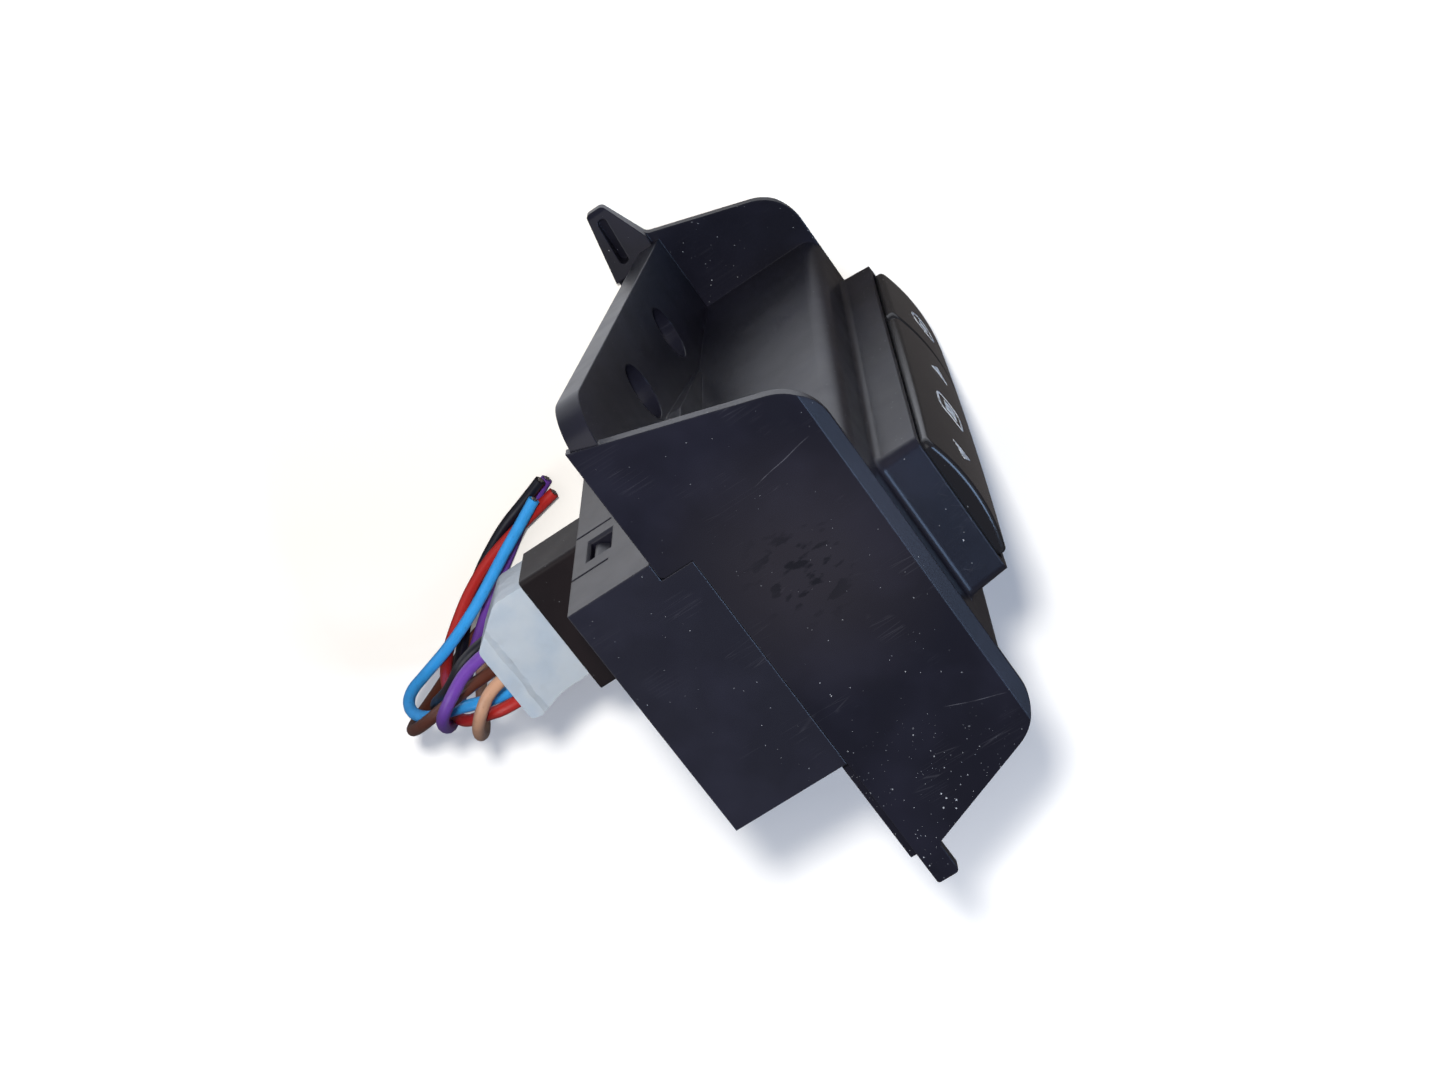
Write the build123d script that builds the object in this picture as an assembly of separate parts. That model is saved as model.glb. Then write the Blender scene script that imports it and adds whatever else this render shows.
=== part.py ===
"""Switch panel of a vehicle dashboard, lying on the outer face of its far cheek.

The part is drawn in the panel's own axes and moved to its origin when it is written:
X runs along the cheeks, with the screw flange at +X and the locating tongues at -X,
Y runs from the buttons (-Y) to the wiring plug (+Y), and Z runs from the far cheek,
which the part lies on, to the near cheek. All sizes are millimetres and degrees.
"""
from build123d import *
import math
import os

# Cheeks: the two side plates of the bezel
panel_width = 108.6
cheek_height = 64.6
cheek_wall = 2.2
cheek_depth = 34.7
cheek_step_x = 19.1
upper_slant = 17.5
lower_slant = 21.3
upper_corner_radius = 8.5
lower_corner_radius = 9.0
edge_bevel_depth = 2.1
edge_bevel_height = 1.5
cheek_step_radius = 0.8

# Central box of the bezel between the cheeks
box_height = 44.4
bezel_wall = 2.2
seam_y = 29.1
front_edge_radius = 3.0

# Raised collar round the buttons
collar_height_near = 7.0
collar_height_far = 5.8
collar_x = 26.0
collar_far_edge = 6.6
collar_near_edge = 9.2
collar_draft = 4.0
collar_near_draft = 12.0
collar_corner_radius = 1.4
collar_root_radius = 1.2
collar_lip = 1.1
opening_corner_radius = 2.0

# Screw flange at the upper end
flange_front_far = 23.7
flange_front_near = 30.0
flange_wall = 2.4
flange_rim = 4.1
flange_rim_wall = 2.0
flange_reach_near = 48.8
flange_reach_far = 37.9
flange_corner_radius = 8.7
screw_hole_radius = 5.0
screw_hole_collar = 1.8
screw_hole_inset = 10.5
screw_hole_spacing = 35.0
flange_foot_radius = 1.0
pad_height = 1.8
pad_reach = 6.2
pad_flare = 0.6
pad_start = 2.0
pad_hole_gap = 0.4
pad_radius = 1.0

# Ear on the far cheek
ear_tip_x = 49.2
ear_tip_y = 28.9
ear_tip_width = 3.5
ear_start_y = 25.1
ear_root_x = 36.0
ear_tip_height = 2.0
ear_slope = 12.0
ear_slot_length = 10.0
ear_slot_width = 1.8
ear_slot_edge = 1.0
ear_slot_skew = 0.5
ear_slot_skin = 0.6
ear_front_radius = 1.5
ear_tip_radius = 1.2
ear_rear_radius = 0.8
ear_root_radius = 1.0

# Lower flange and the two locating tongues
lower_flange_front = 27.0
lower_flange_reach = 43.4
lower_flange_wall = 2.1
lower_flange_rim = 3.9
lower_flange_inset = 0.9
tongue_tip_x = 48.1
tongue_width = 4.0
tongue_rear_radius = 0.5
tongue_tip_radius = 0.8
tongue_root_radius = 1.0

# Button caps
cap_gap = 0.6
swing_clearance = 0.14
push_length = 27.0
crown_height = 10.0
crown_from_near = 28.6
crown_radius_x = 36.0
crown_radius_z = 2700.0
cap_skin = 1.6
cap_side_wall = 1.5
cap_skirt_y = 3.0
cap_corner_radius = 1.6
cap_inner_radius = 0.4
cap_edge_radius = 0.9
push_travel = 2.0
rocker_angle = 2.2
lip_reach = 1.4
lip_thickness = 1.4
lip_length = 12.0

# Pivot of the rocker
pivot_y = 4.5
pin_radius = 1.25
pin_clearance = 0.05
lug_width = 3.2
lug_half = 3.4
ear_plate = 2.1
ear_sink = 0.3
ear_half = 2.6

# Plungers, and the pads under the caps that press on them
plunger_side = 5.0
plunger_arm = 20.0
plunger_gap = 0.25
plunger_head_side = 6.2
plunger_head = 1.4
pad_side = 5.0
pad_end_y = 3.5

# Carrier plate with the guide tubes
carrier_y = 10.0
carrier_wall = 2.0
carrier_side_gap = 1.6
carrier_edge = 9.4
guide_clearance = 0.3
guide_wall = 1.4
guide_end_y = 30.0
carrier_post_inset = 2.4
carrier_post_edge = 13.5
board_post_inset = 3.0
board_post_edge = 20.0
post_radius = 2.5

# Circuit board and what sits on it
board_y = 40.0
board_thickness = 1.6
board_side_gap = 2.2
board_edge = 10.0
mat_base = 1.4
mat_margin = 0.7
mat_post_gap = 0.7
dome_root_radius = 3.9
dome_top_radius = 2.9
dome_wall = 0.8
dome_gap = 0.3
dome_rest = 1.7
led_x = 3.2
led_z = 2.8
led_height = 1.9
chip_side = 7.0
chip_height = 1.4
resistor_length = 2.0
resistor_width = 1.2
resistor_height = 0.6
resistor_count = 6
resistor_pitch = 4.0

# Light guides
guide_stem = 5.0
guide_x = 3.5
guide_gap = 0.3
guide_collar = 7.2
guide_collar_height = 1.2
guide_head_y = -4.6
guide_head_thickness = 1.6
guide_head_x = 5.0
rocker_guide_offset = 9.0
rocker_guide_length = 48.0
push_guide_length = 9.0

# Rear housing and its snap-in cover
housing_rear = 49.7
housing_wall = 2.0
seam_gap = 0.1
housing_lug = 7.0
housing_lug_thickness = 2.4
housing_screw_edge = 5.6
latch_window_z = 7.6
latch_window_y = 4.0
latch_window_front = 42.8
latch_center_edge = 21.1
latch_tongue_z = 16.4
latch_slit = 0.7
window_bevel = 0.5
cover_thickness = 2.0
cover_gap = 0.3
hook_wall = 1.6
hook_rise = 1.4
hook_tail = 1.0
hook_root = 0.5
hook_land = 0.6
hook_clearance = 0.5
cable_opening_gap = 0.3

# Screws
screw_radius = 0.9
screw_clearance = 0.3
screw_head_radius = 2.2
screw_head_height = 1.5
screw_depth = 7.0
screw_drive_side = 1.4
screw_drive_depth = 0.8

# Connector on the board
connector_x = 5.35
connector_z = 59.9
shroud_x = 23.9
shroud_z = 13.4
shroud_end = 66.0
shroud_wall = 1.2
shroud_thick_wall = 2.6
shroud_floor = 48.0
shroud_corner_radius = 0.8
contact_columns = 3
contact_rows = 2
contact_pitch_x = 5.4
contact_pitch_z = 5.6
contact_shift = 1.7
pin_side = 1.0
pin_relief = 0.25
pin_tail = 1.0
pin_end = 60.0

# Wiring plug
plug_fit = 0.3
plug_nose_gap = 0.6
plug_end = 79.4
plug_head_z = 12.2
plug_step_left = 0.3
plug_step_right = 0.8
plug_overlap = 0.5
plug_cut_x = 5.8
plug_cut_y = 7.4
plug_flare = 1.8
plug_neck_y = 6.0
plug_neck_x = 0.2
plug_tail_x = 0.4
plug_tail_y = 2.0
plug_cut_radius = 3.0
plug_cut_end_radius = 1.5
plug_tail_radius = 0.9
terminal_side = 2.0
terminal_fit = 0.2
terminal_front = 51.0
terminal_rear = 74.0
terminal_mouth = 10.0
terminal_pin_gap = 0.05

# Wires: each route is given in the part's own frame, from the terminal to the cut end
wire_diameter = 2.3
wire_hole_gap = 0.3
wire_arc_share = 0.45
wire_routes = {
    "wire_blue": [
        (-2.3, 39.3, 57.1), (-2.3, 49.3, 57.1), (-1.3, 59.3, 51.5), (-3.0, 67.9, 43.5),
        (-3.0, 73.6, 35.0), (-2.2, 74.5, 27.5), (-2.9, 71.5, 20.5), (-2.9, 66.9, 14.5),
        (-1.7, 61.9, 10.4), (0.8, 56.0, 7.8), (4.2, 49.4, 6.5), (7.1, 43.4, 6.3),
        (9.9, 37.8, 5.9),
    ],
    "wire_brown": [
        (3.1, 39.3, 57.1), (3.1, 48.8, 57.1), (1.4, 58.9, 54.6), (-1.4, 67.3, 49.0),
        (-5.0, 74.5, 38.5), (-7.8, 77.0, 27.0), (-9.5, 75.7, 15.5), (-10.0, 73.3, 7.0),
        (-9.3, 69.8, 2.4), (-8.2, 66.1, 1.2), (-7.4, 62.8, 1.2),
    ],
    "wire_violet": [
        (8.5, 39.3, 62.7), (8.5, 47.8, 62.7), (4.6, 55.6, 63.2), (0.0, 61.5, 57.6),
        (-7.8, 66.9, 41.3), (-8.9, 67.5, 28.0), (-8.7, 66.4, 15.5), (-7.1, 63.9, 6.8),
        (-4.3, 59.8, 2.4), (-1.0, 54.8, 1.2), (2.7, 48.9, 1.2), (7.4, 42.0, 1.2),
        (10.6, 34.6, 1.2),
    ],
    "wire_tan": [
        (3.1, 39.3, 62.7), (3.1, 47.3, 62.7), (-1.9, 54.3, 61.0), (-7.7, 59.3, 52.5),
        (-11.9, 62.3, 41.0), (-12.5, 64.1, 30.5), (-11.7, 65.2, 21.0), (-9.3, 63.8, 14.8),
        (-7.2, 61.3, 9.3), (-5.1, 57.9, 5.2), (-2.6, 53.4, 4.0),
    ],
    "wire_red": [
        (-2.3, 39.3, 62.7), (-2.3, 48.3, 62.7), (-3.5, 54.0, 56.5), (-5.1, 60.1, 50.0),
        (-5.4, 63.8, 43.8), (-5.7, 66.3, 33.4), (-5.9, 69.5, 20.0), (-5.3, 69.8, 9.6),
        (-2.9, 66.3, 5.2), (0.6, 60.9, 4.1), (3.7, 54.4, 3.7), (5.6, 47.7, 3.6),
        (6.9, 41.0, 3.6), (8.1, 34.6, 3.2),
    ],
    "wire_black": [
        (8.5, 39.3, 57.1), (8.5, 49.3, 57.1), (1.7, 59.0, 50.0), (-3.4, 68.3, 37.2),
        (-8.6, 71.0, 28.2), (-9.8, 71.2, 20.5), (-9.3, 70.2, 13.5), (-8.1, 68.9, 6.5),
        (-5.4, 66.3, 2.8), (-1.7, 62.4, 1.4), (2.1, 57.4, 1.2), (5.1, 52.0, 1.2),
        (7.7, 46.6, 1.7), (9.7, 40.7, 3.1), (11.7, 35.1, 3.7),
    ],
}

# How far a cutting block reaches past what it cuts
cut_over = 1.0

# Everything below follows from the sizes above
half_cheek = cheek_height / 2
half_box = box_height / 2
box_inner = half_box - bezel_wall
middle_z = panel_width / 2
upper_tan = math.tan(math.radians(upper_slant))
lower_tan = math.tan(math.radians(lower_slant))
collar_grow = collar_height_near * math.tan(math.radians(collar_draft))
collar_near_grow = collar_height_near * math.tan(math.radians(collar_near_draft))
opening_x = collar_x - 2 * collar_lip
opening_bottom = collar_far_edge + collar_lip
opening_top = panel_width - collar_near_edge - collar_lip
crown_z = panel_width - crown_from_near
push_bottom = opening_bottom + cap_gap
push_top = push_bottom + push_length
cap_split = (crown_height + pivot_y) * math.sin(math.radians(rocker_angle)) + swing_clearance
push_z = (push_bottom + push_top) / 2
rocker_bottom = push_top + cap_split
rocker_top = opening_top - cap_gap
rocker_z = (rocker_bottom + rocker_top) / 2
cap_half_x = opening_x / 2 - cap_gap
connector_columns = [
    connector_x - contact_shift + (1 - i) * contact_pitch_x
    for i in range(contact_columns)
]
connector_row_heights = [
    connector_z + (0.5 - i) * contact_pitch_z for i in range(contact_rows)
]
carrier_half_x = half_box - bezel_wall - carrier_side_gap
carrier_post_x = carrier_half_x - carrier_post_inset
board_half_x = half_box - housing_wall - board_side_gap
board_post_x = board_half_x - board_post_inset
mat_half_x = dome_root_radius + mat_margin
plunger_x = -(board_post_x - post_radius - mat_post_gap - mat_half_x)
plunger_end_y = board_y - mat_base - dome_rest - push_travel - dome_gap
housing_screw_x = half_box - housing_screw_edge
plunger_heights = {
    "push_plunger": push_z,
    "rocker_plunger_far": rocker_z - plunger_arm,
    "rocker_plunger_near": rocker_z + plunger_arm,
}
latch_heights = (latch_center_edge, panel_width - latch_center_edge)
housing_screws_at = [
    (sx * housing_screw_x, z)
    for sx in (-1, 1)
    for z in (housing_screw_edge, panel_width - housing_screw_edge)
]
carrier_screws_at = [
    (sx * carrier_post_x, z)
    for sx in (-1, 1)
    for z in (carrier_post_edge, panel_width - carrier_post_edge)
]
board_screws_at = [
    (sx * board_post_x, z)
    for sx in (-1, 1)
    for z in (board_post_edge, panel_width - board_post_edge)
]
guides_at = {
    "push_light_guide": (push_z, push_guide_length, push_z),
    "rocker_light_guide": (rocker_z + rocker_guide_offset, rocker_guide_length, rocker_z),
}
origin_x = (ear_tip_x - tongue_tip_x) / 2
origin_y = (plug_end - crown_height) / 2


def block(x0, x1, y0, y1, z0, z1):
    """A box between two corners."""
    size = (abs(x1 - x0), abs(y1 - y0), abs(z1 - z0))
    return Pos((x0 + x1) / 2, (y0 + y1) / 2, (z0 + z1) / 2) * Box(*size)


def rod_y(x, z, radius, y0, y1):
    """A round rod along Y."""
    return Pos(x, (y0 + y1) / 2, z) * Rot(90, 0, 0) * Cylinder(radius, abs(y1 - y0))


def rod_x(y, z, radius, x0, x1):
    """A round rod along X."""
    return Pos((x0 + x1) / 2, y, z) * Rot(0, 90, 0) * Cylinder(radius, abs(x1 - x0))


def side_outline(points, radii, z0, z1):
    """A solid whose outline is drawn in the cheek's plane and that stands from z0 to z1."""
    outline = FilletPolyline(*[(x, y, z0) for x, y in points], radius=radii, close=True)
    return extrude(make_face(outline), amount=z1 - z0, dir=(0, 0, 1))


def front_outline(points, radii, y0, y1):
    """A solid whose outline is drawn in the plane of the buttons, from y0 to y1."""
    outline = FilletPolyline(*[(x, y0, z) for x, z in points], radius=radii, close=True)
    return extrude(make_face(outline), amount=y1 - y0, dir=(0, 1, 0))


def rounded_window(half_x, z0, z1, radius, y0, y1):
    """A rounded rectangle about X = 0, drawn in the plane of the buttons."""
    corners = [(-half_x, z0), (half_x, z0), (half_x, z1), (-half_x, z1)]
    return front_outline(corners, [radius] * 4, y0, y1)


def cheek(z0, with_ear):
    """One side plate, with its locating tongue and, on the far side, its ear."""
    tongue_front = seam_y - tongue_width
    lower_end = [
        (-half_box, seam_y),
        (-tongue_tip_x, seam_y),
        (-tongue_tip_x, tongue_front),
        (-half_cheek - lower_tan * tongue_front, tongue_front),
        (-half_cheek, 0),
        (half_cheek, 0),
    ]
    tongue_radii = [tongue_rear_radius, tongue_tip_radius, tongue_root_radius]
    lower_radii = [0] + tongue_radii + [lower_corner_radius, upper_corner_radius]
    if with_ear:
        ear_rear = ear_tip_y + ear_tip_width
        upper_end = [
            (half_cheek + upper_tan * ear_start_y, ear_start_y),
            (ear_tip_x, ear_tip_y),
            (ear_tip_x, ear_rear),
            (ear_root_x, cheek_depth),
        ]
        upper_radii = [ear_front_radius, ear_tip_radius, ear_rear_radius, ear_root_radius]
    else:
        upper_end = [(half_cheek + upper_tan * cheek_depth, cheek_depth)]
        upper_radii = [0]
    step = [(cheek_step_x, cheek_depth), (cheek_step_x, seam_y)]
    points = lower_end + upper_end + step
    radii = lower_radii + upper_radii + [cheek_step_radius, 0]
    return side_outline(points, radii, z0, z0 + cheek_wall)


def ear_wedge():
    """The ear is thicker at its root, so its face leans towards the screw end."""
    run = ear_tip_x - ear_root_x
    root_height = ear_tip_height + run * math.tan(math.radians(ear_slope))
    profile = Polyline(
        (ear_root_x, 0, 0), (ear_tip_x, 0, 0), (ear_tip_x, 0, ear_tip_height),
        (ear_root_x, 0, root_height), close=True,
    )
    wedge = extrude(make_face(profile), amount=cheek_depth + cut_over, dir=(0, 1, 0))
    return wedge & ear_outline(root_height)


def ear_outline(height):
    """The ear's outline, without the rest of the cheek, up to a height."""
    points = [
        (half_cheek + upper_tan * ear_start_y, ear_start_y),
        (ear_tip_x, ear_tip_y),
        (ear_tip_x, ear_tip_y + ear_tip_width),
        (ear_root_x, cheek_depth),
        (ear_root_x, ear_start_y),
    ]
    radii = [ear_front_radius, ear_tip_radius, ear_rear_radius, 0, 0]
    return side_outline(points, radii, 0, height)


def ear_slot():
    """The long pocket in the ear, close to its rear edge, with a skin at its bottom."""
    slot_y = ear_tip_y + ear_tip_width - ear_slot_edge - ear_slot_width / 2
    start = ear_tip_x - ear_slot_edge - ear_slot_length
    points = [
        (start, slot_y - ear_slot_width / 2 + ear_slot_skew),
        (ear_tip_x - 2 * ear_slot_edge, slot_y - ear_slot_width / 2),
        (ear_tip_x - 2 * ear_slot_edge, slot_y + ear_slot_width / 2),
        (start, slot_y + ear_slot_width / 2 + ear_slot_skew),
    ]
    radii = [0.45 * ear_slot_width] * 4
    return side_outline(points, radii, ear_slot_skin, half_cheek)


def flange_front_at(z):
    """How far back the flange's front face lies at a height."""
    return flange_front_far + (flange_front_near - flange_front_far) * z / panel_width


def flange_reach_at(z):
    """How far the flange reaches towards +X at a height."""
    return flange_reach_far + (flange_reach_near - flange_reach_far) * z / panel_width


def flange_slab(depth0, depth1, inset):
    """A slab parallel to the sloping flange, cut to its outline less an inset."""
    slab_face = Polyline(
        (half_box, flange_front_far + depth0, 0),
        (half_box, flange_front_near + depth0, panel_width),
        (half_box, flange_front_near + depth1, panel_width),
        (half_box, flange_front_far + depth1, 0),
        close=True,
    )
    slab = extrude(make_face(slab_face), amount=flange_reach_near, dir=(1, 0, 0))
    bottom = inset
    top = panel_width - inset
    corners = [
        (half_box, bottom),
        (flange_reach_at(bottom) - inset, bottom),
        (flange_reach_at(top) - inset, top),
        (half_box, top),
    ]
    radii = [0, flange_foot_radius, flange_corner_radius - inset, 0]
    return slab & front_outline(corners, radii, 0, 2 * cheek_depth)


def screw_holes_at():
    """Middle of each screw hole, the same distance in from the flange's rim."""
    heights = (middle_z - screw_hole_spacing / 2, middle_z + screw_hole_spacing / 2)
    return [(flange_reach_at(z) - screw_hole_inset, z) for z in heights]


def flange():
    """The screw flange: a sloping plate with a turned rim and two collared holes."""
    plate = flange_slab(0, flange_rim, 0)
    hollow = flange_slab(flange_wall, 2 * flange_rim, flange_rim_wall)
    for x, z in screw_holes_at():
        hollow -= rod_y(x, z, screw_hole_radius + screw_hole_collar, 0, 2 * cheek_depth)
    plate -= hollow
    for x, z in screw_holes_at():
        plate -= rod_y(x, z, screw_hole_radius, 0, 2 * cheek_depth)
    return plate


def stiffening_pad():
    """A low step in the corner between the flange and the end wall."""
    lower_z = middle_z - screw_hole_spacing / 2 + pad_start
    upper_z = middle_z + screw_hole_spacing / 2 - pad_start
    in_wall = half_box - bezel_wall / 2
    top = panel_width - cheek_wall / 2
    corners = [
        (in_wall, lower_z),
        (half_box + pad_radius, lower_z),
        (half_box + pad_reach, upper_z),
        (half_box + pad_reach + pad_flare, top),
        (in_wall, top),
    ]
    front = flange_front_at(middle_z) - pad_height
    column = front_outline(corners, [0, 0, pad_radius, 0, 0], front, cheek_depth)
    for x, z in screw_holes_at():
        column -= rod_y(x, z, screw_hole_radius + pad_hole_gap, 0, 2 * cheek_depth)
    return column - flange_slab(flange_wall / 2, 2 * cheek_depth, 0)


def lower_flange():
    """The plain flange that closes the lower pocket, with a turned rim behind it."""
    front = lower_flange_front
    reach = lower_flange_reach
    in_wall = -half_box + bezel_wall / 2
    in_cheek = cheek_wall / 2
    rear = front + lower_flange_wall
    plate = block(-reach, in_wall, front, rear, in_cheek, panel_width - in_cheek)
    z0 = cheek_wall + lower_flange_inset
    z1 = panel_width - z0
    rim_rear = front + lower_flange_rim
    inner = flange_rim_wall
    rim = block(-reach, -half_box, front, rim_rear, z0, z1)
    rim -= block(
        -reach + inner, -half_box - inner, front, rim_rear + cut_over, z0 + inner, z1 - inner
    )
    return plate + rim


def edge_bevel(outer_z, inward):
    """The flat bevel along the front edge of a cheek, which fades out at the corners."""
    outside = outer_z - inward * cut_over
    ahead = outer_z + inward * edge_bevel_height * (1 + cut_over / edge_bevel_depth)
    profile = Polyline(
        (-cheek_height, -cut_over, outside), (-cheek_height, -cut_over, ahead),
        (-cheek_height, edge_bevel_depth, outer_z), (-cheek_height, edge_bevel_depth, outside),
        close=True,
    )
    return extrude(make_face(profile), amount=2 * cheek_height, dir=(1, 0, 0))


def collar_outline(y, grow, near_grow):
    """The collar's rounded outline at a depth, grown on all sides and at its near end."""
    half_x = collar_x / 2 + grow
    bottom = collar_far_edge - grow
    top = panel_width - collar_near_edge + near_grow
    corners = [(-half_x, y, bottom), (half_x, y, bottom), (half_x, y, top), (-half_x, y, top)]
    radii = [collar_corner_radius + grow] * 4
    return make_face(FilletPolyline(*corners, radius=radii, close=True))


def collar():
    """The raised collar round the buttons, with a little draft and more at its near end."""
    bottom = collar_far_edge - collar_grow
    top = panel_width - collar_near_edge + collar_near_grow
    root = collar_outline(0, collar_grow, collar_near_grow)
    crown = collar_outline(-collar_height_near, 0, 0)
    raised = loft([root, crown], ruled=True)
    side = Polyline(
        (-collar_x, cut_over, bottom), (-collar_x, -collar_height_far, bottom),
        (-collar_x, -collar_height_near, top), (-collar_x, cut_over, top), close=True,
    )
    return raised & extrude(make_face(side), amount=2 * collar_x, dir=(1, 0, 0))


def hook(sign, z):
    """A snap hook of the rear cover: a tab along the wall with a wedge on it."""
    wall_inner = half_box - housing_wall
    tab_outer = wall_inner - cover_gap
    z0 = z - latch_window_z / 2 + hook_clearance
    z1 = z + latch_window_z / 2 - hook_clearance
    tab = block(
        sign * (tab_outer - hook_wall), sign * tab_outer,
        latch_window_front - hook_tail, housing_rear - cover_thickness, z0, z1,
    )
    y0 = latch_window_front + hook_clearance
    y1 = latch_window_front + latch_window_y - hook_clearance
    wedge_face = Polyline(
        (sign * (tab_outer - hook_root), y0, z0),
        (sign * tab_outer, y0, z0),
        (sign * (tab_outer + hook_rise), y1 - hook_land, z0),
        (sign * (tab_outer + hook_rise), y1, z0),
        (sign * (tab_outer - hook_root), y1, z0),
        close=True,
    )
    return tab + extrude(make_face(wedge_face), amount=z1 - z0, dir=(0, 0, 1))


def make_bezel():
    """The one-piece bezel: cheeks, front wall, collar, end walls, flanges and posts."""
    far = 0
    near = panel_width - cheek_wall
    body = cheek(far, True) + cheek(near, False) + ear_wedge()
    outer = [(-half_box, seam_y), (-half_box, 0), (half_box, 0), (half_box, cheek_depth),
             (half_box - bezel_wall, cheek_depth), (half_box - bezel_wall, bezel_wall),
             (-box_inner, bezel_wall), (-box_inner, seam_y)]
    inner_radius = front_edge_radius - bezel_wall
    radii = [0, front_edge_radius, front_edge_radius, 0, 0, inner_radius, inner_radius, 0]
    body += side_outline(outer, radii, cheek_wall / 2, panel_width - cheek_wall / 2)
    raised = collar()
    body += raised
    root = body.edges().filter_by_position(Axis.Y, -0.01, 0.01)
    reach = collar_x / 2 + cut_over
    root = root.filter_by_position(Axis.X, -reach, reach)
    root = root.filter_by_position(
        Axis.Z, collar_far_edge - cut_over,
        panel_width - collar_near_edge + collar_near_grow + cut_over,
    )
    body = fillet(root, collar_root_radius)
    body -= rounded_window(
        opening_x / 2, opening_bottom, opening_top, opening_corner_radius,
        -collar_height_near - cut_over, bezel_wall + cut_over,
    )
    body += flange()
    body += stiffening_pad()
    body += lower_flange()
    body -= ear_slot()
    body -= edge_bevel(panel_width, -1)
    body -= edge_bevel(0, 1)
    for sign in (-1, 1):
        lug_inner = opening_x / 2
        body += block(
            sign * lug_inner, sign * (lug_inner + lug_width),
            bezel_wall / 2, pivot_y + 2 * pin_radius, rocker_z - lug_half, rocker_z + lug_half,
        )
    for x, z in carrier_screws_at:
        body += rod_y(x, z, post_radius, bezel_wall / 2, carrier_y)
    for x, z in housing_screws_at:
        body += rod_y(x, z, post_radius, bezel_wall / 2, seam_y)
    body -= rod_x(
        pivot_y, rocker_z, pin_radius, -opening_x / 2 - lug_width, opening_x / 2 + lug_width
    )
    for x, z in carrier_screws_at:
        body -= rod_y(x, z, screw_radius, carrier_y - screw_depth, carrier_y)
    for x, z in housing_screws_at:
        body -= rod_y(x, z, screw_radius, seam_y - screw_depth, seam_y)
    return body


def crown_body(lowered):
    """A block whose front face is crowned both ways, lowered by a skin thickness."""
    half = collar_x
    sag = crown_radius_x - math.sqrt(crown_radius_x ** 2 - half ** 2)
    top = -crown_height + lowered
    arc = ThreePointArc(
        (-half, top + sag, crown_z), (0, top, crown_z), (half, top + sag, crown_z)
    )
    rest = Polyline(
        (half, top + sag, crown_z), (half, cheek_depth, crown_z),
        (-half, cheek_depth, crown_z), (-half, top + sag, crown_z),
    )
    profile = make_face([arc, rest])
    axis = Axis((0, top + crown_radius_z, crown_z), (1, 0, 0))
    sweep_angle = 2 * math.degrees(math.asin(panel_width / crown_radius_z))
    profile = profile.rotate(axis, -sweep_angle / 2)
    return revolve(profile, axis=axis, revolution_arc=sweep_angle)


def cap_shell(z0, z1):
    """The hollow crowned cap between two heights."""
    front = -crown_height - cut_over
    outer = rounded_window(cap_half_x, z0, z1, cap_corner_radius, front, cap_skirt_y)
    outer = outer & crown_body(0)
    top_edges = outer.edges().filter_by_position(Axis.Y, front, -collar_height_far)
    side_edges = outer.edges().filter_by(Axis.Y)
    rim_edges = [edge for edge in top_edges if edge not in side_edges]
    outer = fillet(rim_edges, cap_edge_radius)
    inner = rounded_window(
        cap_half_x - cap_side_wall, z0 + cap_side_wall, z1 - cap_side_wall,
        cap_inner_radius, front, cap_skirt_y + cut_over,
    )
    return outer - (inner & crown_body(cap_skin))


def pressing_pad(z):
    """The square post under a cap that presses on a plunger, ending inside the cap's skin."""
    half = pad_side / 2
    x = plunger_x
    post = block(x - half, x + half, -crown_height, pad_end_y, z - half, z + half)
    return post & crown_body(cap_skin / 2)


def make_rocker_cap():
    """The long rocker, hung on its pin by two ear plates."""
    cap = cap_shell(rocker_bottom, rocker_top)
    for z in (rocker_z - plunger_arm, rocker_z + plunger_arm):
        cap += pressing_pad(z)
    inner = crown_body(cap_skin / 2)
    for sign in (-1, 1):
        outer_x = cap_half_x - cap_side_wall
        plate = block(
            sign * (outer_x - ear_plate), sign * (outer_x + ear_sink),
            -crown_height, pivot_y, rocker_z - ear_half, rocker_z + ear_half,
        )
        plate += rod_x(pivot_y, rocker_z, ear_half, sign * (outer_x - ear_plate), sign * outer_x)
        cap += plate & inner
    cap -= rod_x(pivot_y, rocker_z, pin_radius + pin_clearance, -collar_x, collar_x)
    return cap


def make_push_cap():
    """The short push button, kept in by two lips behind the front wall."""
    cap = cap_shell(push_bottom, push_top)
    cap += pressing_pad(push_z)
    for sign in (-1, 1):
        lip_front = bezel_wall + cap_gap / 2
        cap += block(
            sign * (cap_half_x - cap_side_wall / 2), sign * (cap_half_x + lip_reach),
            lip_front, lip_front + lip_thickness,
            push_z - lip_length / 2, push_z + lip_length / 2,
        )
    return cap


def make_pivot_pin():
    """The steel pin through the lugs and the rocker's ear plates."""
    reach = opening_x / 2 + lug_width
    return rod_x(pivot_y, rocker_z, pin_radius, -reach, reach)


def make_plunger(z, gap):
    """A square plunger with a head, which slides in a guide tube."""
    start = pad_end_y + gap
    head = plunger_head_side / 2
    half = plunger_side / 2
    x = plunger_x
    plunger = block(x - head, x + head, start, start + plunger_head, z - head, z + head)
    return plunger + block(x - half, x + half, start, plunger_end_y, z - half, z + half)


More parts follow.
